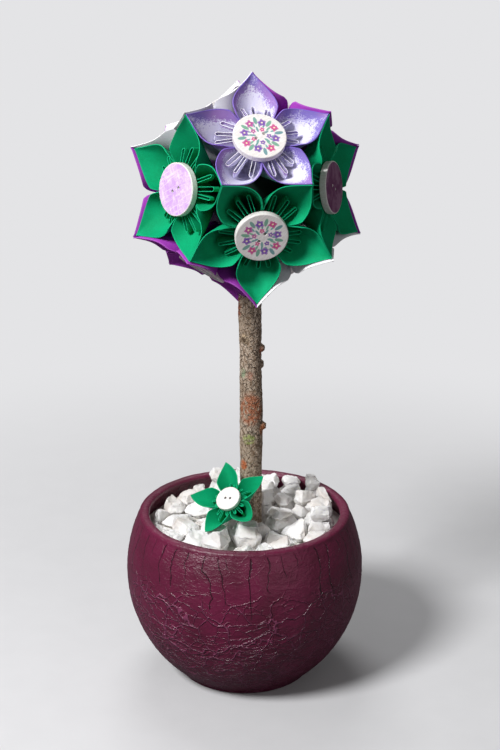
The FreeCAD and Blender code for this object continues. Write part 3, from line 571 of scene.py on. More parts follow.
@dataclass(frozen=True)
class MineralFinish:
    """Broken stone, plaster or set glue: a mass with soft clouds, pale for stone and plaster, and dark for
    the glue as painted shade.
    """

    name: str
    light: Colour
    dark: Colour
    cloud_scale: float
    grain_depth: float
    rough: float
    glow: float = 0.0

    def build(self) -> bpy.types.Material:
        """The mass with its clouds and grain."""
        graph = Graph(self.name)
        clouds = graph.noise(graph.place, self.cloud_scale, 5)
        grain = graph.noise(graph.place, 1500.0, 5, 0.65)
        colour = graph.blend(graph.span(clouds, 0.42, 0.74), self.light, self.dark)
        veins = graph.span(graph.noise(graph.place, self.cloud_scale * 4, 5, 0.6, 1.5), 0.55, 0.75)
        colour = graph.blend(graph.math("MULTIPLY", veins, 0.35), colour, self.dark)
        dust = graph.math("MULTIPLY", graph.span(grain, 0.6, 0.75), 0.25)
        colour = graph.blend(dust, colour, self.dark)
        normal = graph.relief(grain, self.grain_depth, 0.7)
        return graph.finish(
            Base_Color=colour, Roughness=self.rough, Specular_IOR_Level=0.35, Normal=normal,
            Subsurface_Weight=self.glow, Subsurface_Radius=(0.004, 0.004, 0.0035), Subsurface_Scale=1.0,
        )


class Paper(Enum):
    """The papers that the flowers are folded from."""

    # The third colour of each paper is its rim line: pencil on the lilac one, a painted highlight on the
    # others.
    LILAC = PaperFinish(
        "lilac_shaded_paper", tint(232, 230, 246), tint(216, 212, 240), tint(132, 108, 206),
        tint(98, 66, 182), tint(138, 76, 178), rim_pencil_highlight_strength=0.75,
    )
    WHITE = PaperFinish("white_paper", tint(240, 240, 246), tint(230, 230, 240), tint(250, 248, 246))
    # The green paper has painted shade deep in its cups.
    GREEN = PaperFinish("green_paper", tint(0, 170, 116), tint(0, 150, 98), tint(24, 194, 138), cup_painted_shade=0.8)
    VIOLET = PaperFinish("violet_paper", tint(168, 68, 186), tint(150, 54, 170), tint(196, 108, 210))


# Meshes

def piece(
    name: str, mesh: bmesh.types.BMesh, material: bpy.types.Material, smooth: float = 35
) -> bpy.types.Object:
    """Makes a shown object of a finished mesh.

    Args:
        name: The piece's name.
        mesh: The mesh in the row frame, in metres; it is used up.
        material: The finish.
        smooth: Steepest angle in degrees that is still shaded as smooth.

    Returns:
        The object.
    """
    data = bpy.data.meshes.new(name)
    mesh.to_mesh(data)
    mesh.free()
    data.materials.append(material)
    data.shade_smooth()
    data.set_sharp_from_angle(angle=math.radians(smooth))
    made = bpy.data.objects.new(name, data)
    bpy.context.scene.collection.objects.link(made)
    return made


def settle(made: bpy.types.Object, smooth: float = 35) -> None:
    """Applies an object's modifiers to its mesh.

    Args:
        made: The object.
        smooth: Steepest angle in degrees that is still shaded as smooth.
    """
    bpy.context.view_layer.update()
    shaped = made.evaluated_get(bpy.context.evaluated_depsgraph_get())
    data = bpy.data.meshes.new_from_object(shaped)
    made.modifiers.clear()
    made.data = data
    data.set_sharp_from_angle(angle=math.radians(smooth))


def thicken(made: bpy.types.Object, thickness: float, offset: float = -1.0) -> None:
    """Gives a sheet its thickness, in metres."""
    solid = made.modifiers.new("paper", "SOLIDIFY")
    solid.thickness = thickness
    solid.offset = offset
    solid.use_even_offset = True
    settle(made)


def claim(made: bpy.types.Object, slot: str, *nodes: str) -> None:
    """Lets a piece ride with the part and stand for its nodes."""
    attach(made, "root")
    if nodes:
        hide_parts(*nodes)
    LOG.info("%s: %d faces", made.name, len(made.data.polygons))


# Flowers

@dataclass(frozen=True)
class FlowerSizes:
    """Sizes of one flower in millimetres, in its own axes with +Z as its axis."""

    reach: float
    paper: float
    half_width: float
    inner_reach: float
    root_length: float
    button_radius: float
    button_thickness: float
    button_sink: float
    frill_reach: float
    frill_inner: float
    frill_height: float
    frill_drop: float
    pleat_width: float
    ball_radius: float = 0.0
    tip_clearance: float = 0.2
    clearance: float = 0.12
    paper_thickness: float = 0.45
    rim_rise: float = 0.55
    rim_fall: float = 1.0
    rim_tuck: float = 0.5

    @property
    def depth(self) -> float:
        """Height of the tips above the root."""
        return math.sqrt(self.paper**2 / 2 - self.reach**2)

    @property
    def root_height(self) -> float:
        """Distance of the flower's root from the ball's middle."""
        return self.ball_radius * math.cos(TIP_ANGLE) - self.depth

    @property
    def seat(self) -> float:
        """Height of the button's underside."""
        return self.depth - self.button_sink - self.button_thickness

    def section(self, turn: float, skew: float) -> Vector:
        """Point of the petal's section at the tips' height; turn is 0 at the tip."""
        half = (self.reach - self.inner_reach) / 2
        across = self.half_width * math.sin(turn) * (1 + skew * math.cos(turn))
        return Vector((self.reach - half + half * math.cos(turn), across, self.depth))

    def pressed_width(self, across_reach: float, wide: float, stretch: float) -> float:
        """Half width that the next flowers leave to a rim; stretch is its share of the tips' height."""
        corner = math.radians(54)
        root = self.root_height
        fan = (root / stretch + self.depth) / (root + self.depth)
        room = (self.ball_radius * math.sin(TIP_ANGLE) * fan - across_reach) * math.tan(corner)
        room = max(room - self.tip_clearance / 2 / math.cos(corner), 0.0)
        return wide * room / max((wide**8 + room**8) ** 0.125, 1e-9)

    def skew(self) -> float:
        """Skew of the section that just brings each petal against its neighbours."""
        wedge = math.pi / PETALS
        low, high = -0.95, 0.95
        for _ in range(40):
            middle = (low + high) / 2
            points = [self.section(math.pi * step / 180, middle) for step in range(1, 180)]
            over = max(p.y * math.cos(wedge) - p.x * math.sin(wedge) for p in points)
            if over > -self.clearance:
                low = middle
            else:
                high = middle
        return high

    def rim_height(self, reach: float) -> float:
        """Height that the button leaves to a rim."""
        tuck_height = self.seat - self.rim_tuck
        tuck_reach = self.button_radius * self.depth / tuck_height
        slope = self.rim_rise if reach > tuck_reach else self.rim_fall
        return tuck_height + slope * (reach - tuck_reach)


FINE_STEPS = 240
# A petal's narrow end is closed to a point, a little beyond its root
CLOSED_SHARE = 0.01
CLOSED_LEAN = 0.6
CLOSED_LENGTH = 1.2


@dataclass
class Flower:
    """A flower of five folded petals, a pleated frill and a button."""

    name: str
    sizes: FlowerSizes
    matrix: Matrix
    paper: Paper
    slot: str
    motif: Print
    button_turn: float
    seed: int
    outline: list = field(default_factory=list)
    swings: tuple = (0.0, 0.0, 0.0, 0.0, 0.0)
    overhang: float = 0.0
    crown: float = 374.0

    def half_petal(self) -> list[tuple[float, ...]]:
        """Half a petal from its tip: section reach and width, ray and rim length, looseness of the rim."""
        sizes = self.sizes
        skew = sizes.skew()
        wrapped = 0.0
        found = []
        before = sizes.section(0.0, skew)
        for step in range(FINE_STEPS + 1):
            point = sizes.section(math.pi * step / FINE_STEPS, skew)
            wide = point.y
            for _ in range(3):
                free = sizes.paper / 2 / math.cos(max(math.pi / 4 - wrapped - before.angle(point, 0.0), 0.0))
                if sizes.ball_radius:
                    point.y = sizes.pressed_width(point.x, wide, free / point.length)
            wrapped += before.angle(point, 0.0)
            before = point
            pressed = sizes.rim_height(math.hypot(point.x, point.y)) * point.length / point.z
            loose = min(max((pressed - free) / 4, 0.0), 1.0)
            found.append((point.x, wide, point.length, min(free, pressed), loose))
            self.outline.append((point.x, point.y))
        return found

    def room(self, bearing: float, height: float, most: float) -> float:
        """How far a pleat may go out before its petal's wall stops it.

        Args:
            bearing: The pleat's bearing from the petal's middle, in radians.
            height: Its height above the root.
            most: The reach that it would have in the open.

        Returns:
            The reach.
        """
        scale = self.sizes.depth / height
        reach = most
        while reach > self.sizes.frill_inner + 1:
            out, side = reach * math.cos(bearing) * scale, abs(reach * math.sin(bearing)) * scale
            wall = next((wide for far, wide in self.outline if far <= out), 0.0)
            if out < self.outline[0][0] and side < wall - 1.9 * scale:
                break
            reach -= 0.2
        return reach

    def petal(self, target: bmesh.types.BMesh, half: list, number: int, dice: random.Random) -> None:
        """Adds one petal's sheet, from its root to its rim.

        Args:
            target: The mesh that takes the petal.
            half: Half a petal in steps from its tip.
            number: Which of the five petals.
            dice: The random source of small differences.
        """
        sizes = self.sizes
        made = bmesh.new()
        made.loops.layers.uv.new("sheet")
        bmesh.ops.create_grid(made, x_segments=56, y_segments=16, size=0.5, calc_uvs=True)
        turn = Matrix.Rotation(PETAL_ANGLE * number + math.radians(self.swings[number]), 4, "Z")
        flare = dice.uniform(-0.15, 0.25)
        wave = dice.uniform(0, 6.28)
        gap = sizes.clearance / 2
        for vert in made.verts:
            across, along = 2 * vert.co.x, vert.co.y + 0.5
            step = abs(across) * FINE_STEPS
            low = min(int(step), FINE_STEPS - 1)
            share = step - low
            reach, wide, ray, rim, loose = (a + (b - a) * share for a, b in zip(half[low], half[low + 1]))
            length = sizes.root_length + (rim - sizes.root_length) * along
            if sizes.ball_radius:
                wide = sizes.pressed_width(reach, wide, length / ray)
            point = Vector((reach, wide, sizes.depth)).normalized() * length
            outward = point + Vector((0, 0, sizes.root_height))
            below = self.crown - (self.matrix @ (turn @ point * MM)).z / MM
            lift = self.overhang * min(max(below / 20, 0.0), 1.0)
            point += outward.normalized() * lift * loose * along**4
            if along < CLOSED_SHARE:
                point = Vector((sizes.reach * CLOSED_LEAN, 0, sizes.depth)).normalized()
                point *= length + CLOSED_LENGTH
            point.y = math.copysign(max(point.y, gap), across) if across else 0.0
            ripple = 0.12 * along**3 * math.sin(across * 7 + wave)
            point.z += ripple + flare * along**4 * (1 - abs(across)) * 0.4
            vert.co = turn @ point
        bmesh.ops.remove_doubles(made, verts=made.verts, dist=0.001)
        self.add(made, target)

    def add(self, made: bmesh.types.BMesh, target: bmesh.types.BMesh) -> None:
        """Moves one mesh into another."""
        data = bpy.data.meshes.new("part_of_" + self.name)
        made.to_mesh(data)
        made.free()
        target.from_mesh(data)
        bpy.data.meshes.remove(data)

    def petals(self, material: bpy.types.Material) -> bpy.types.Object:
        """The five petals as one piece.

        Args:
            material: The paper.

        Returns:
            The piece.
        """
        dice = random.Random(self.seed)
        mesh = bmesh.new()
        mesh.loops.layers.uv.new("sheet")
        half = self.half_petal()
        for number in range(PETALS):
            self.petal(mesh, half, number, dice)
        mesh.transform(self.matrix @ Matrix.Scale(MM, 4))
        made = piece(self.name + "_paper", mesh, material)
        thicken(made, self.sizes.paper_thickness * MM)
        claim(made, self.slot, self.name + "_petals")
        return made

    def frill_path(self, level: float, shapes: list) -> list[Vector]:
        """Closed line of the folded strip at one level.

        Args:
            level: 0 at the upper edge and 1 at the lower one.
            shapes: Bearing, reach and width of each pleat.

        Returns:
            Its points in the flower's axes.
        """
        sizes = self.sizes
        points = []
        for number, (bearing, reach, width) in enumerate(shapes):
            following = shapes[(number + 1) % len(shapes)][0]
            if following < bearing:
                following += 2 * math.pi
            low = sizes.seat - sizes.frill_drop - self.pleat_depth(1.0) * level
            middle = round(bearing / PETAL_ANGLE) * PETAL_ANGLE
            far = self.room(bearing - middle, low, reach)
            half = width / 2
            side = math.asin(half / sizes.frill_inner)
            turn = Matrix.Rotation(bearing, 4, "Z")
            wall = [sizes.frill_inner + (far - half - sizes.frill_inner) * step / 4 for step in range(5)]
            points += [turn @ Vector((out, -half, 0)) for out in wall]
            points.append(turn @ Vector((far - 0.3 * half, -0.7 * half, 0)))
            points.append(turn @ Vector((far, 0, 0)))
            points.append(turn @ Vector((far - 0.3 * half, 0.7 * half, 0)))
            points += [turn @ Vector((out, half, 0)) for out in reversed(wall)]
            for share in (0.33, 0.67):
                valley = bearing + side + (following - bearing - 2 * side) * share
                points.append(Matrix.Rotation(valley, 4, "Z") @ Vector((sizes.frill_inner, 0, 0)))
        covered = sizes.button_radius * 0.92
        for point in points:
            out = math.hypot(point.x, point.y)
            past = max(out - covered, 0) / (sizes.frill_reach - covered)
            point.z = sizes.seat - 0.15 - sizes.frill_drop * past - self.pleat_depth(past) * level
        return points

    def pleat_depth(self, past: float) -> float:
        """Height of the strip, by how far a spot lies past the button."""
        return self.sizes.frill_height * (1 + 0.45 * min(past, 1.0))

    def frill(self, material: bpy.types.Material) -> bpy.types.Object:
        """The accordion folded strip as one piece.

        Args:
            material: The paper.

        Returns:
            The piece.
        """
        dice = random.Random(self.seed + 100)
        sizes = self.sizes
        shapes = []
        for petal in range(PETALS):
            for fold in (-1, 0, 1):
                bearing = PETAL_ANGLE * petal + math.radians(18 * fold + dice.uniform(-2.5, 2.5))
                most = sizes.frill_reach - (dice.uniform(0, 1.4) if fold == 0 else dice.uniform(0.4, 2.6))
                width = sizes.pleat_width * dice.uniform(0.7, 1.15)
                shapes.append((bearing % (2 * math.pi), most, width))
        shapes.sort()
        mesh = bmesh.new()
        sheet = mesh.loops.layers.uv.new("sheet")
        path = self.frill_path(0.0, shapes)
        bmesh.ops.create_circle(mesh, segments=len(path), radius=1)
        mesh.verts.ensure_lookup_table()
        ring = sorted(mesh.verts, key=lambda vert: math.atan2(vert.co.y, vert.co.x) % (2 * math.pi))
        depths = dict.fromkeys(ring, 0.0)
        for vert, point in zip(ring, path):
            vert.co = point
        levels = 5
        edges = list(mesh.edges)
        for level in range(1, levels + 1):
            made = bmesh.ops.extrude_edge_only(mesh, edges=edges)["geom"]
            edges = [item for item in made if isinstance(item, bmesh.types.BMEdge) and item.is_boundary
                     and all(vert not in ring for vert in item.verts)]
            lower = {item for item in made if isinstance(item, bmesh.types.BMVert)}
            path = self.frill_path(level / levels, shapes)
            following = []
            for vert in ring:
                others = [edge.other_vert(vert) for edge in vert.link_edges]
                following.append(next(other for other in others if other in lower))
            for vert, point in zip(following, path):
                vert.co = point
                depths[vert] = level / levels
            ring = following
        for face in mesh.faces:
            for loop in face.loops:
                loop[sheet].uv = (0.5, 1.0 - 0.45 * depths[loop.vert])
        bmesh.ops.recalc_face_normals(mesh, faces=mesh.faces)
        mesh.transform(self.matrix @ Matrix.Scale(MM, 4))
        made = piece(self.name + "_pleats", mesh, material)
        thicken(made, 0.3 * MM, 0.0)
        claim(made, self.slot, self.name + "_frill")
        return made

    def dress_button(self, frame: dict) -> None:
        """Gives the button its painted face.

        Args:
            frame: The loaded frame.
        """
        sizes = self.sizes
        seat = Matrix.Translation((0, 0, sizes.seat * MM))
        seat @= Matrix.Rotation(math.radians(self.button_turn), 4, "Z")
        finish = ButtonFinish(self.name + "_button_paint", self.motif, self.matrix @ seat,
                              sizes.button_radius, sizes.button_thickness)
        node = frame["nodes"][self.name + "_button"]
        node.data.materials.clear()
        node.data.materials.append(finish.build())
        LOG.info("%s_button: painted", self.name)

    def build(self, frame: dict, papers: dict) -> None:
        """Builds and dresses the whole flower.

        Args:
            frame: The loaded frame.
            papers: The paper materials by kind.
        """
        smooth, pleated = papers[self.paper]
        self.petals(smooth)
        self.frill(pleated)
        self.dress_button(frame)


@dataclass
class PaperBall:
    """The twelve flowers on the faces of a dodecahedron."""

    radius: float = 70.0
    middle: Vector = field(default_factory=lambda: Vector((1.8, 0.0, 308.0)))
    turn: float = 9.7
    roll: float = 1.4
    lean: float = -15.0
    tip_clearance: float = 0.2
    overhang: float = 2.0

    FLOWERS = (
        ((0, -GOLDEN, 1), 50, Paper.LILAC, "paper_white_lilac", Print.WREATH),
        ((0, -GOLDEN, -1), 40, Paper.GREEN, "paper_green", Print.WREATH),
        ((-GOLDEN, -1, 0), 90, Paper.GREEN, "paper_green", Print.WASH),
        ((GOLDEN, -1, 0), 90, Paper.GREEN, "paper_green", Print.PLUM),
        ((-1, 0, GOLDEN), 15, Paper.WHITE, "paper_white", Print.WREATH),
        ((1, 0, GOLDEN), 70, Paper.VIOLET, "paper_violet", Print.WASH),
        ((-1, 0, -GOLDEN), 120, Paper.VIOLET, "paper_violet", Print.WREATH),
        ((1, 0, -GOLDEN), 35, Paper.WHITE, "paper_white", Print.WASH),
        ((-GOLDEN, 1, 0), 80, Paper.VIOLET, "paper_violet", Print.WREATH),
        ((GOLDEN, 1, 0), 100, Paper.VIOLET, "paper_violet", Print.WASH),
        ((0, GOLDEN, 1), 55, Paper.WHITE, "paper_white", Print.WREATH),
        ((0, GOLDEN, -1), 140, Paper.WHITE, "paper_white", Print.WASH),
    )

    def corners(self) -> list[Vector]:
        """The corners of the dodecahedron, where three petal tips meet."""
        found = [Vector((x, y, z)) for x in (-1, 1) for y in (-1, 1) for z in (-1, 1)]
        for first in (-1, 1):
            for second in (-1, 1):
                short, tall = first / GOLDEN, second * GOLDEN
                found += [Vector((short, tall, 0)), Vector((0, short, tall)), Vector((tall, 0, short))]
        return [corner.normalized() for corner in found]

    def flower_turn(self, axis: tuple) -> Matrix:
        """Turns a flower's axes so that +Z is its axis and +X points at one of its tips.

        Args:
            axis: The flower's axis before the ball is turned.

        Returns:
            The turn.
        """
        up = Vector(axis).normalized()
        tip = min(self.corners(), key=lambda corner: round(up.angle(corner), 6))
        side = (tip - up * tip.dot(up)).normalized()
        return Matrix((side, up.cross(side), up)).transposed().to_4x4()

    def sizes(self) -> FlowerSizes:
        """The sizes that the twelve flowers share."""
        return FlowerSizes(
            reach=self.radius * math.sin(TIP_ANGLE) - self.tip_clearance, paper=80.0, half_width=14.2,
            inner_reach=9.0, root_length=7.0, button_radius=15.0, button_thickness=4.0, button_sink=2.2,
            frill_reach=25.2, frill_inner=10.4, frill_height=4.4, frill_drop=3.0, pleat_width=2.3,
            ball_radius=self.radius,
        )

    def build(self, frame: dict, papers: dict) -> None:
        """Builds the ball.

        Args:
            frame: The loaded frame.
            papers: The paper materials by kind.
        """
        sizes = self.sizes()
        ball = (
            Matrix.Rotation(math.radians(self.turn), 4, "Z")
            @ Matrix.Rotation(math.radians(self.roll), 4, "Y")
            @ Matrix.Rotation(math.radians(self.lean), 4, "X")
        )
        for number, (axis, button_turn, paper, slot, motif) in enumerate(self.FLOWERS, start=1):
            turn = ball @ self.flower_turn(axis)
            root = self.middle + turn @ Vector((0, 0, sizes.root_height))
            matrix = Matrix.Translation(root * MM) @ turn
            flower = Flower(f"flower_{number:02d}", sizes, matrix, paper, slot, motif, button_turn, number)
            flower.overhang = 0.0 if number <= 4 else self.overhang
            flower.build(frame, papers)


@dataclass
class SmallFlower:
    """The single green flower on the stones."""

    root: Vector = field(default_factory=lambda: Vector((-2.2, -14.5, 109.5)))
    bearing: float = 233.0
    tilt: float = 40.5
    spin: float = -76.0
    swings: tuple = (0.0, 0.0, 0.0, 0.0, 0.0)

    def build(self, frame: dict, papers: dict) -> None:
        """Builds the small flower.

        Args:
            frame: The loaded frame.
            papers: The paper materials by kind.
        """
        sizes = FlowerSizes(
            reach=25.4, paper=47.0, half_width=7.2, inner_reach=5.3, root_length=6.0, button_radius=7.75,
            button_thickness=2.6, button_sink=1.3, frill_reach=13.8, frill_inner=5.8, frill_height=3.0,
            frill_drop=2.0, pleat_width=1.3,
        )
        turn = (
            Matrix.Rotation(math.radians(self.bearing), 4, "Z")
            @ Matrix.Rotation(math.radians(self.tilt), 4, "Y")
            @ Matrix.Rotation(math.radians(self.spin), 4, "Z")
        )
        matrix = Matrix.Translation(self.root * MM) @ turn
        flower = Flower("small_flower", sizes, matrix, Paper.GREEN, "paper_green", Print.PLAIN, 0.0, 77)
        flower.swings = self.swings
        flower.build(frame, papers)


# Stand

@dataclass
class Twig:
    """The trunk: a straight twig with its bark on."""

    x: float = 3.7
    radius: float = 7.0
    foot: float = 30.0
    fill: float = 93.0
    top: float = 304.0
    wander: float = 0.5
    SECTIONS = (
        (0.0, 1.0, 0.0, 0.0), (0.16, 0.97, 0.6, 0.2), (0.34, 1.03, 1.0, -0.4), (0.52, 0.96, 0.2, 0.3),
        (0.7, 1.0, -0.8, -0.2), (0.86, 0.97, -0.3, 0.4), (1.0, 0.94, 0.0, 0.0),
    )
    KNOTS = (
        (0.555, -8.0, 2.4), (0.505, 5.0, 1.6), (0.32, -12.0, 2.5), (0.585, 236.0, 1.2), (0.42, 100.0, 2.1),
        (0.14, 60.0, 2.1),
    )

    def middle_line(self, height: float) -> tuple[Vector, float]:
        """The twig's middle and girth at a height."""
        share = min(max((height - self.fill) / (self.top - self.fill), 0.0), 1.0)
        for first, second in zip(self.SECTIONS, self.SECTIONS[1:]):
            if share <= second[0]:
                part = (share - first[0]) / (second[0] - first[0])
                part = part * part * (3 - 2 * part)
                girth, lean_x, lean_y = (a + (b - a) * part for a, b in zip(first[1:], second[1:]))
                break
        return Vector((self.x + lean_x * self.wander, lean_y * self.wander, height)), girth

    def build(self) -> None:
        """Builds the twig with its stubs, ridges and pits."""
        mesh = bmesh.new()
        bmesh.ops.create_cone(mesh, cap_ends=True, segments=96, radius1=1, radius2=1, depth=1)
        upright = [edge for edge in mesh.edges if abs(edge.verts[0].co.z - edge.verts[1].co.z) > 0.5]
        bmesh.ops.subdivide_edges(mesh, edges=upright, cuts=320, use_grid_fill=True)
        for vert in mesh.verts:
            height = self.foot + (vert.co.z + 0.5) * (self.top - self.foot)
            middle, girth = self.middle_line(height)
            turn = math.atan2(vert.co.y, vert.co.x)
            out = Vector((math.cos(turn), math.sin(turn), 0))
            radius = self.radius * girth + self.bark(out, height)
            for share, bearing, rise in self.KNOTS:
                knot_height = self.fill + share * (self.top - self.fill) + 2.2
                away = (turn - math.radians(bearing) + math.pi) % (2 * math.pi) - math.pi
                far = math.hypot(away * self.radius, height - knot_height)
                radius += rise * math.exp(-((far / 2.3) ** 4)) - 0.35 * math.exp(-((far - 3.4) / 0.9) ** 2)
                radius -= 0.5 * rise * math.exp(-((far / 0.9) ** 2))
            vert.co = middle + out * radius
        bmesh.ops.recalc_face_normals(mesh, faces=mesh.faces)
        mesh.transform(Matrix.Scale(MM, 4))
        made = piece("twig", mesh, BarkFinish().build(), 60)
        claim(made, "bark", "trunk")

    def bark(self, out: Vector, height: float) -> float:
        """Rise of the bark over the twig's round, in millimetres."""
        spot = Vector((out.x * 2.2, out.y * 2.2, height * 0.09))
        ridges = noise.fractal(spot * 1.3, 1.0, 2.0, 4)
        pits = noise.noise(Vector((out.x * 5, out.y * 5, height * 0.55)))
        return 0.28 * ridges + 0.22 * pits - 0.15


@dataclass
class Pot:
    """The turned and glazed globe pot."""

    height: float = 107.0
    belly: float = 74.0
    belly_height: float = 68.0
    curve: float = 85.0
    wall: float = 6.0
    floor: float = 8.0
    lip: float = 2.4
    foot_edge: float = 2.0

    def reach(self, height: float, inner: bool) -> float:
        """The wall's distance from the axis at a height."""
        curve = self.curve - (self.wall if inner else 0.0)
        return self.belly - self.curve + math.sqrt(curve**2 - (height - self.belly_height) ** 2)

    def profile(self) -> list[tuple[float, float]]:
        """Half of the pot's section from the foot's middle round the lip to the floor's middle."""
        low = self.foot_edge
        points = [(0.0, 0.0), (25.0, 0.0), (self.reach(0, False) - 1.6 * low, 0.0)]
        for step in range(4):
            turn = math.pi / 2 * step / 3
            across = self.reach(low, False) - low * 0.9 * (1 - math.sin(turn))
            points.append((across, low * (1 - math.cos(turn))))
        top = self.height - self.lip
        steps = 84
        points += [(self.reach(low + (top - low) * step / steps, False), low + (top - low) * step / steps)
                   for step in range(1, steps + 1)]
        outer, inner = self.reach(top, False), self.reach(top, True)
        middle, half = (outer + inner) / 2, (outer - inner) / 2
        for step in range(1, 12):
            turn = math.pi * step / 12
            points.append((middle + half * math.cos(turn), top + self.lip * math.sin(turn) ** 0.8))
        steps = 40
        points += [(self.reach(top + (self.floor - top) * step / steps, True),
                    top + (self.floor - top) * step / steps) for step in range(steps + 1)]
        return points + [(20.0, self.floor), (0.0, self.floor)]

    def build(self) -> None:
        """Builds the pot with its handmade unevenness."""
        mesh = bmesh.new()
        verts = [mesh.verts.new((x, 0, z)) for x, z in self.profile()]
        edges = [mesh.edges.new(pair) for pair in zip(verts, verts[1:])]
        bmesh.ops.spin(mesh, geom=verts + edges, cent=(0, 0, 0), axis=(0, 0, 1), angle=2 * math.pi,
                       steps=224, use_merge=True)
        bmesh.ops.remove_doubles(mesh, verts=mesh.verts, dist=0.001)
        bmesh.ops.recalc_face_normals(mesh, faces=mesh.faces)
        mesh.normal_update()
        for vert in mesh.verts:
            if vert.co.z < 1.0:
                continue
            lumps = noise.noise(vert.co * 0.055) * 0.18
            spot = Vector((vert.co.x * 0.16, vert.co.y * 0.16, vert.co.z * 0.42))
            wrinkle = noise.fractal(spot, 1.0, 2.0, 3)
            vert.co += vert.normal * min(lumps + 0.16 * wrinkle - 0.12, 0.0)
        mesh.transform(Matrix.Scale(MM, 4))
        made = piece("globe_pot", mesh, GlazeFinish().build(), 50)
        claim(made, "pot_glaze", "pot")


@dataclass
class Stones:
    """The white marble chips, broken from the frame's plain ones."""

    bevel: float = 1.1
    longest: float = 1.3
    rough: float = 1.3

    def build(self, frame: dict) -> None:
        """Rounds and roughens a copy of the plain chips.

        Args:
            frame: The loaded frame.
        """
        mesh = bmesh.new()
        mesh.from_mesh(frame["nodes"]["stone_chips"].data)
        bmesh.ops.remove_doubles(mesh, verts=mesh.verts, dist=0.00001)
        mesh.transform(Matrix.Scale(1 / MM, 4))
        bmesh.ops.dissolve_limit(mesh, angle_limit=math.radians(1), verts=mesh.verts, edges=mesh.edges)
        bmesh.ops.bevel(mesh, geom=list(mesh.edges), offset=self.bevel, segments=2, profile=0.5,
                        affect="EDGES", material=-1, clamp_overlap=True)
        for _ in range(3):
            bmesh.ops.triangulate(mesh, faces=mesh.faces)
            long_edges = [edge for edge in mesh.edges if edge.calc_length() > self.longest]
            bmesh.ops.subdivide_edges(mesh, edges=long_edges, cuts=1)
        bmesh.ops.triangulate(mesh, faces=mesh.faces)
        for _ in range(5):
            bmesh.ops.smooth_vert(mesh, verts=mesh.verts, factor=0.5, use_axis_x=True, use_axis_y=True,
                                  use_axis_z=True)
        mesh.normal_update()
        for vert in mesh.verts:
            breaks = noise.noise(vert.co * 0.17) + 0.6 * noise.noise(vert.co * 0.42)
            grain = noise.noise(vert.co * 0.9) + 0.6 * noise.noise(vert.co * 1.8)
            vert.co += vert.normal * (self.rough * min(breaks, 0.2) + 0.26 * grain - 0.2)
        mesh.transform(Matrix.Scale(MM, 4))
        finish = MineralFinish("marble", tint(247, 246, 245), tint(214, 205, 198), 48.0, 0.0005, 0.6, 0.22)
        made = piece("marble_chips", mesh, finish.build(), 40)
        claim(made, "marble_chips", "stone_chips")


# Camera and studio

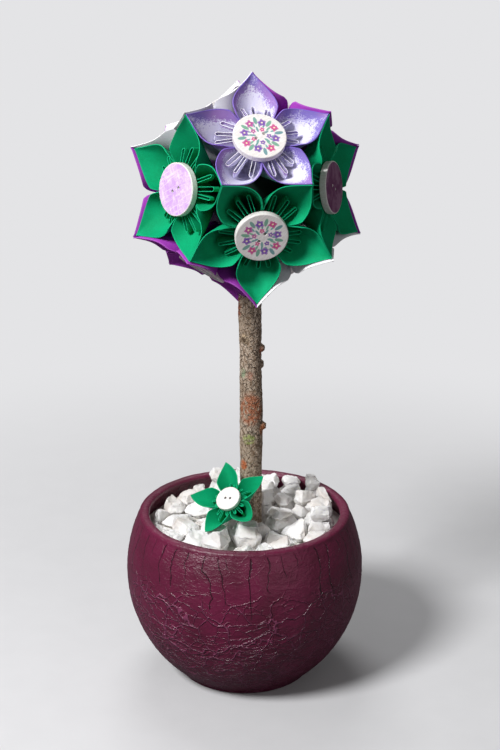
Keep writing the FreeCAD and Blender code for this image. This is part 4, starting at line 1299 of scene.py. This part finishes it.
@dataclass
class Studio:
    """The camera, the floor and the lights."""

    lens: float = 75.0
    camera_place: Vector = field(default_factory=lambda: Vector((0.0034, -0.8918, 0.5053)))
    pitch: float = 19.2
    sky: float = 0.13

    def camera(self) -> None:
        """Puts the camera where the photograph was taken from."""
        data = bpy.data.cameras.new("camera")
        data.sensor_fit = "VERTICAL"
        data.sensor_height = 36.0
        data.lens = self.lens
        data.clip_start = 0.01
        data.clip_end = 20
        made = bpy.data.objects.new("camera", data)
        made.location = self.camera_place
        made.rotation_euler = (math.radians(90 - self.pitch), 0, 0)
        bpy.context.scene.collection.objects.link(made)
        bpy.context.scene.camera = made

    def floor(self) -> None:
        """Lays a pale floor that fades into the backdrop away from the object."""
        mesh = bmesh.new()
        bmesh.ops.create_grid(mesh, x_segments=8, y_segments=8, size=4.0)
        graph = Graph("studio_floor")
        grain = graph.noise(graph.place, 40.0, 3)
        seen = graph.node("LightPath", {}).outputs["Is Camera Ray"]
        colour = graph.blend(grain, tint(220, 220, 222), tint(214, 214, 216))
        colour = graph.blend(seen, tint(104, 98, 104), colour)
        material = graph.finish(Base_Color=colour, Roughness=0.9)
        far = graph.node("VectorMath", {0: graph.place}, operation="LENGTH").outputs["Value"]
        share = graph.math("MULTIPLY", graph.span(far, 0.16, 0.62), seen)
        backdrop = graph.node("Emission", {"Color": BACKDROP, "Strength": 1.0}).outputs[0]
        mixed = graph.node("MixShader", {0: share, 1: graph.shader.outputs[0], 2: backdrop}).outputs[0]
        graph.put(graph.tree.nodes["Material Output"].inputs["Surface"], mixed)
        made = piece("studio_floor", mesh, material)

    def lamp(self, name: str, place: tuple, size: float, power: float) -> None:
        """Adds a soft lamp that looks at the object's middle."""
        data = bpy.data.lights.new(name, "AREA")
        data.shape = "DISK"
        data.size = size
        data.energy = power
        made = bpy.data.objects.new(name, data)
        made.location = place
        aim = Vector((0, 0, 0.19)) - Vector(place)
        made.rotation_euler = aim.to_track_quat("-Z", "Y").to_euler()
        bpy.context.scene.collection.objects.link(made)

    def world(self) -> None:
        """A plain sky that the camera sees as the pale backdrop."""
        world = bpy.data.worlds.new("studio")
        world.use_nodes = True
        tree = world.node_tree
        back = tree.nodes["Background"]
        path = tree.nodes.new("ShaderNodeLightPath")
        seen = tree.nodes.new("ShaderNodeMath")
        seen.operation = "MAXIMUM"
        tree.links.new(path.outputs["Is Camera Ray"], seen.inputs[0])
        tree.links.new(path.outputs["Is Transmission Ray"], seen.inputs[1])
        level = tree.nodes.new("ShaderNodeMix")
        level.data_type = "RGBA"
        level.inputs[6].default_value = (self.sky, self.sky, self.sky, 1.0)
        level.inputs[7].default_value = BACKDROP
        tree.links.new(seen.outputs[0], level.inputs[0])
        tree.links.new(level.outputs[2], back.inputs["Color"])
        back.inputs["Strength"].default_value = 1.0
        bpy.context.scene.world = world

    def build(self) -> None:
        """Sets up the camera, floor and lights."""
        self.camera()
        self.floor()
        self.world()
        self.lamp("key", (-0.72, -0.7, 1.12), 0.42, 21.0)
        self.lamp("fill", (0.7, -1.0, 0.5), 0.9, 1.4)
        self.lamp("back", (-0.1, 0.6, 1.1), 0.6, 4.0)
        bpy.context.scene.view_settings.view_transform = "Standard"


def main() -> None:
    """Builds the whole scene in order."""
    logging.basicConfig(level=logging.INFO, format="%(name)s: %(message)s")
    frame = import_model()
    Studio().build()
    papers = {paper: (paper.value.build(), paper.value.pleated().build()) for paper in Paper}
    PaperBall().build(frame, papers)
    SmallFlower().build(frame, papers)
    Twig().build()
    Pot().build()
    Stones().build(frame)
    plaster = MineralFinish("plaster", tint(225, 222, 216), tint(196, 190, 182), 50.0, 0.0003, 0.85)
    # Painted shade: the glue plug is coloured a dark green black, as the shade in the gaps between the
    # flowers.
    glue = MineralFinish("hot_glue", tint(26, 48, 42), tint(16, 34, 30), 70.0, 0.0002, 0.5)
    for node, finish in (("pot_fill", plaster), ("glue_plug", glue)):
        data = frame["nodes"][node].data
        data.materials.clear()
        data.materials.append(finish.build())
        LOG.info("%s: dressed", node)


if __name__ == "__main__":
    main()
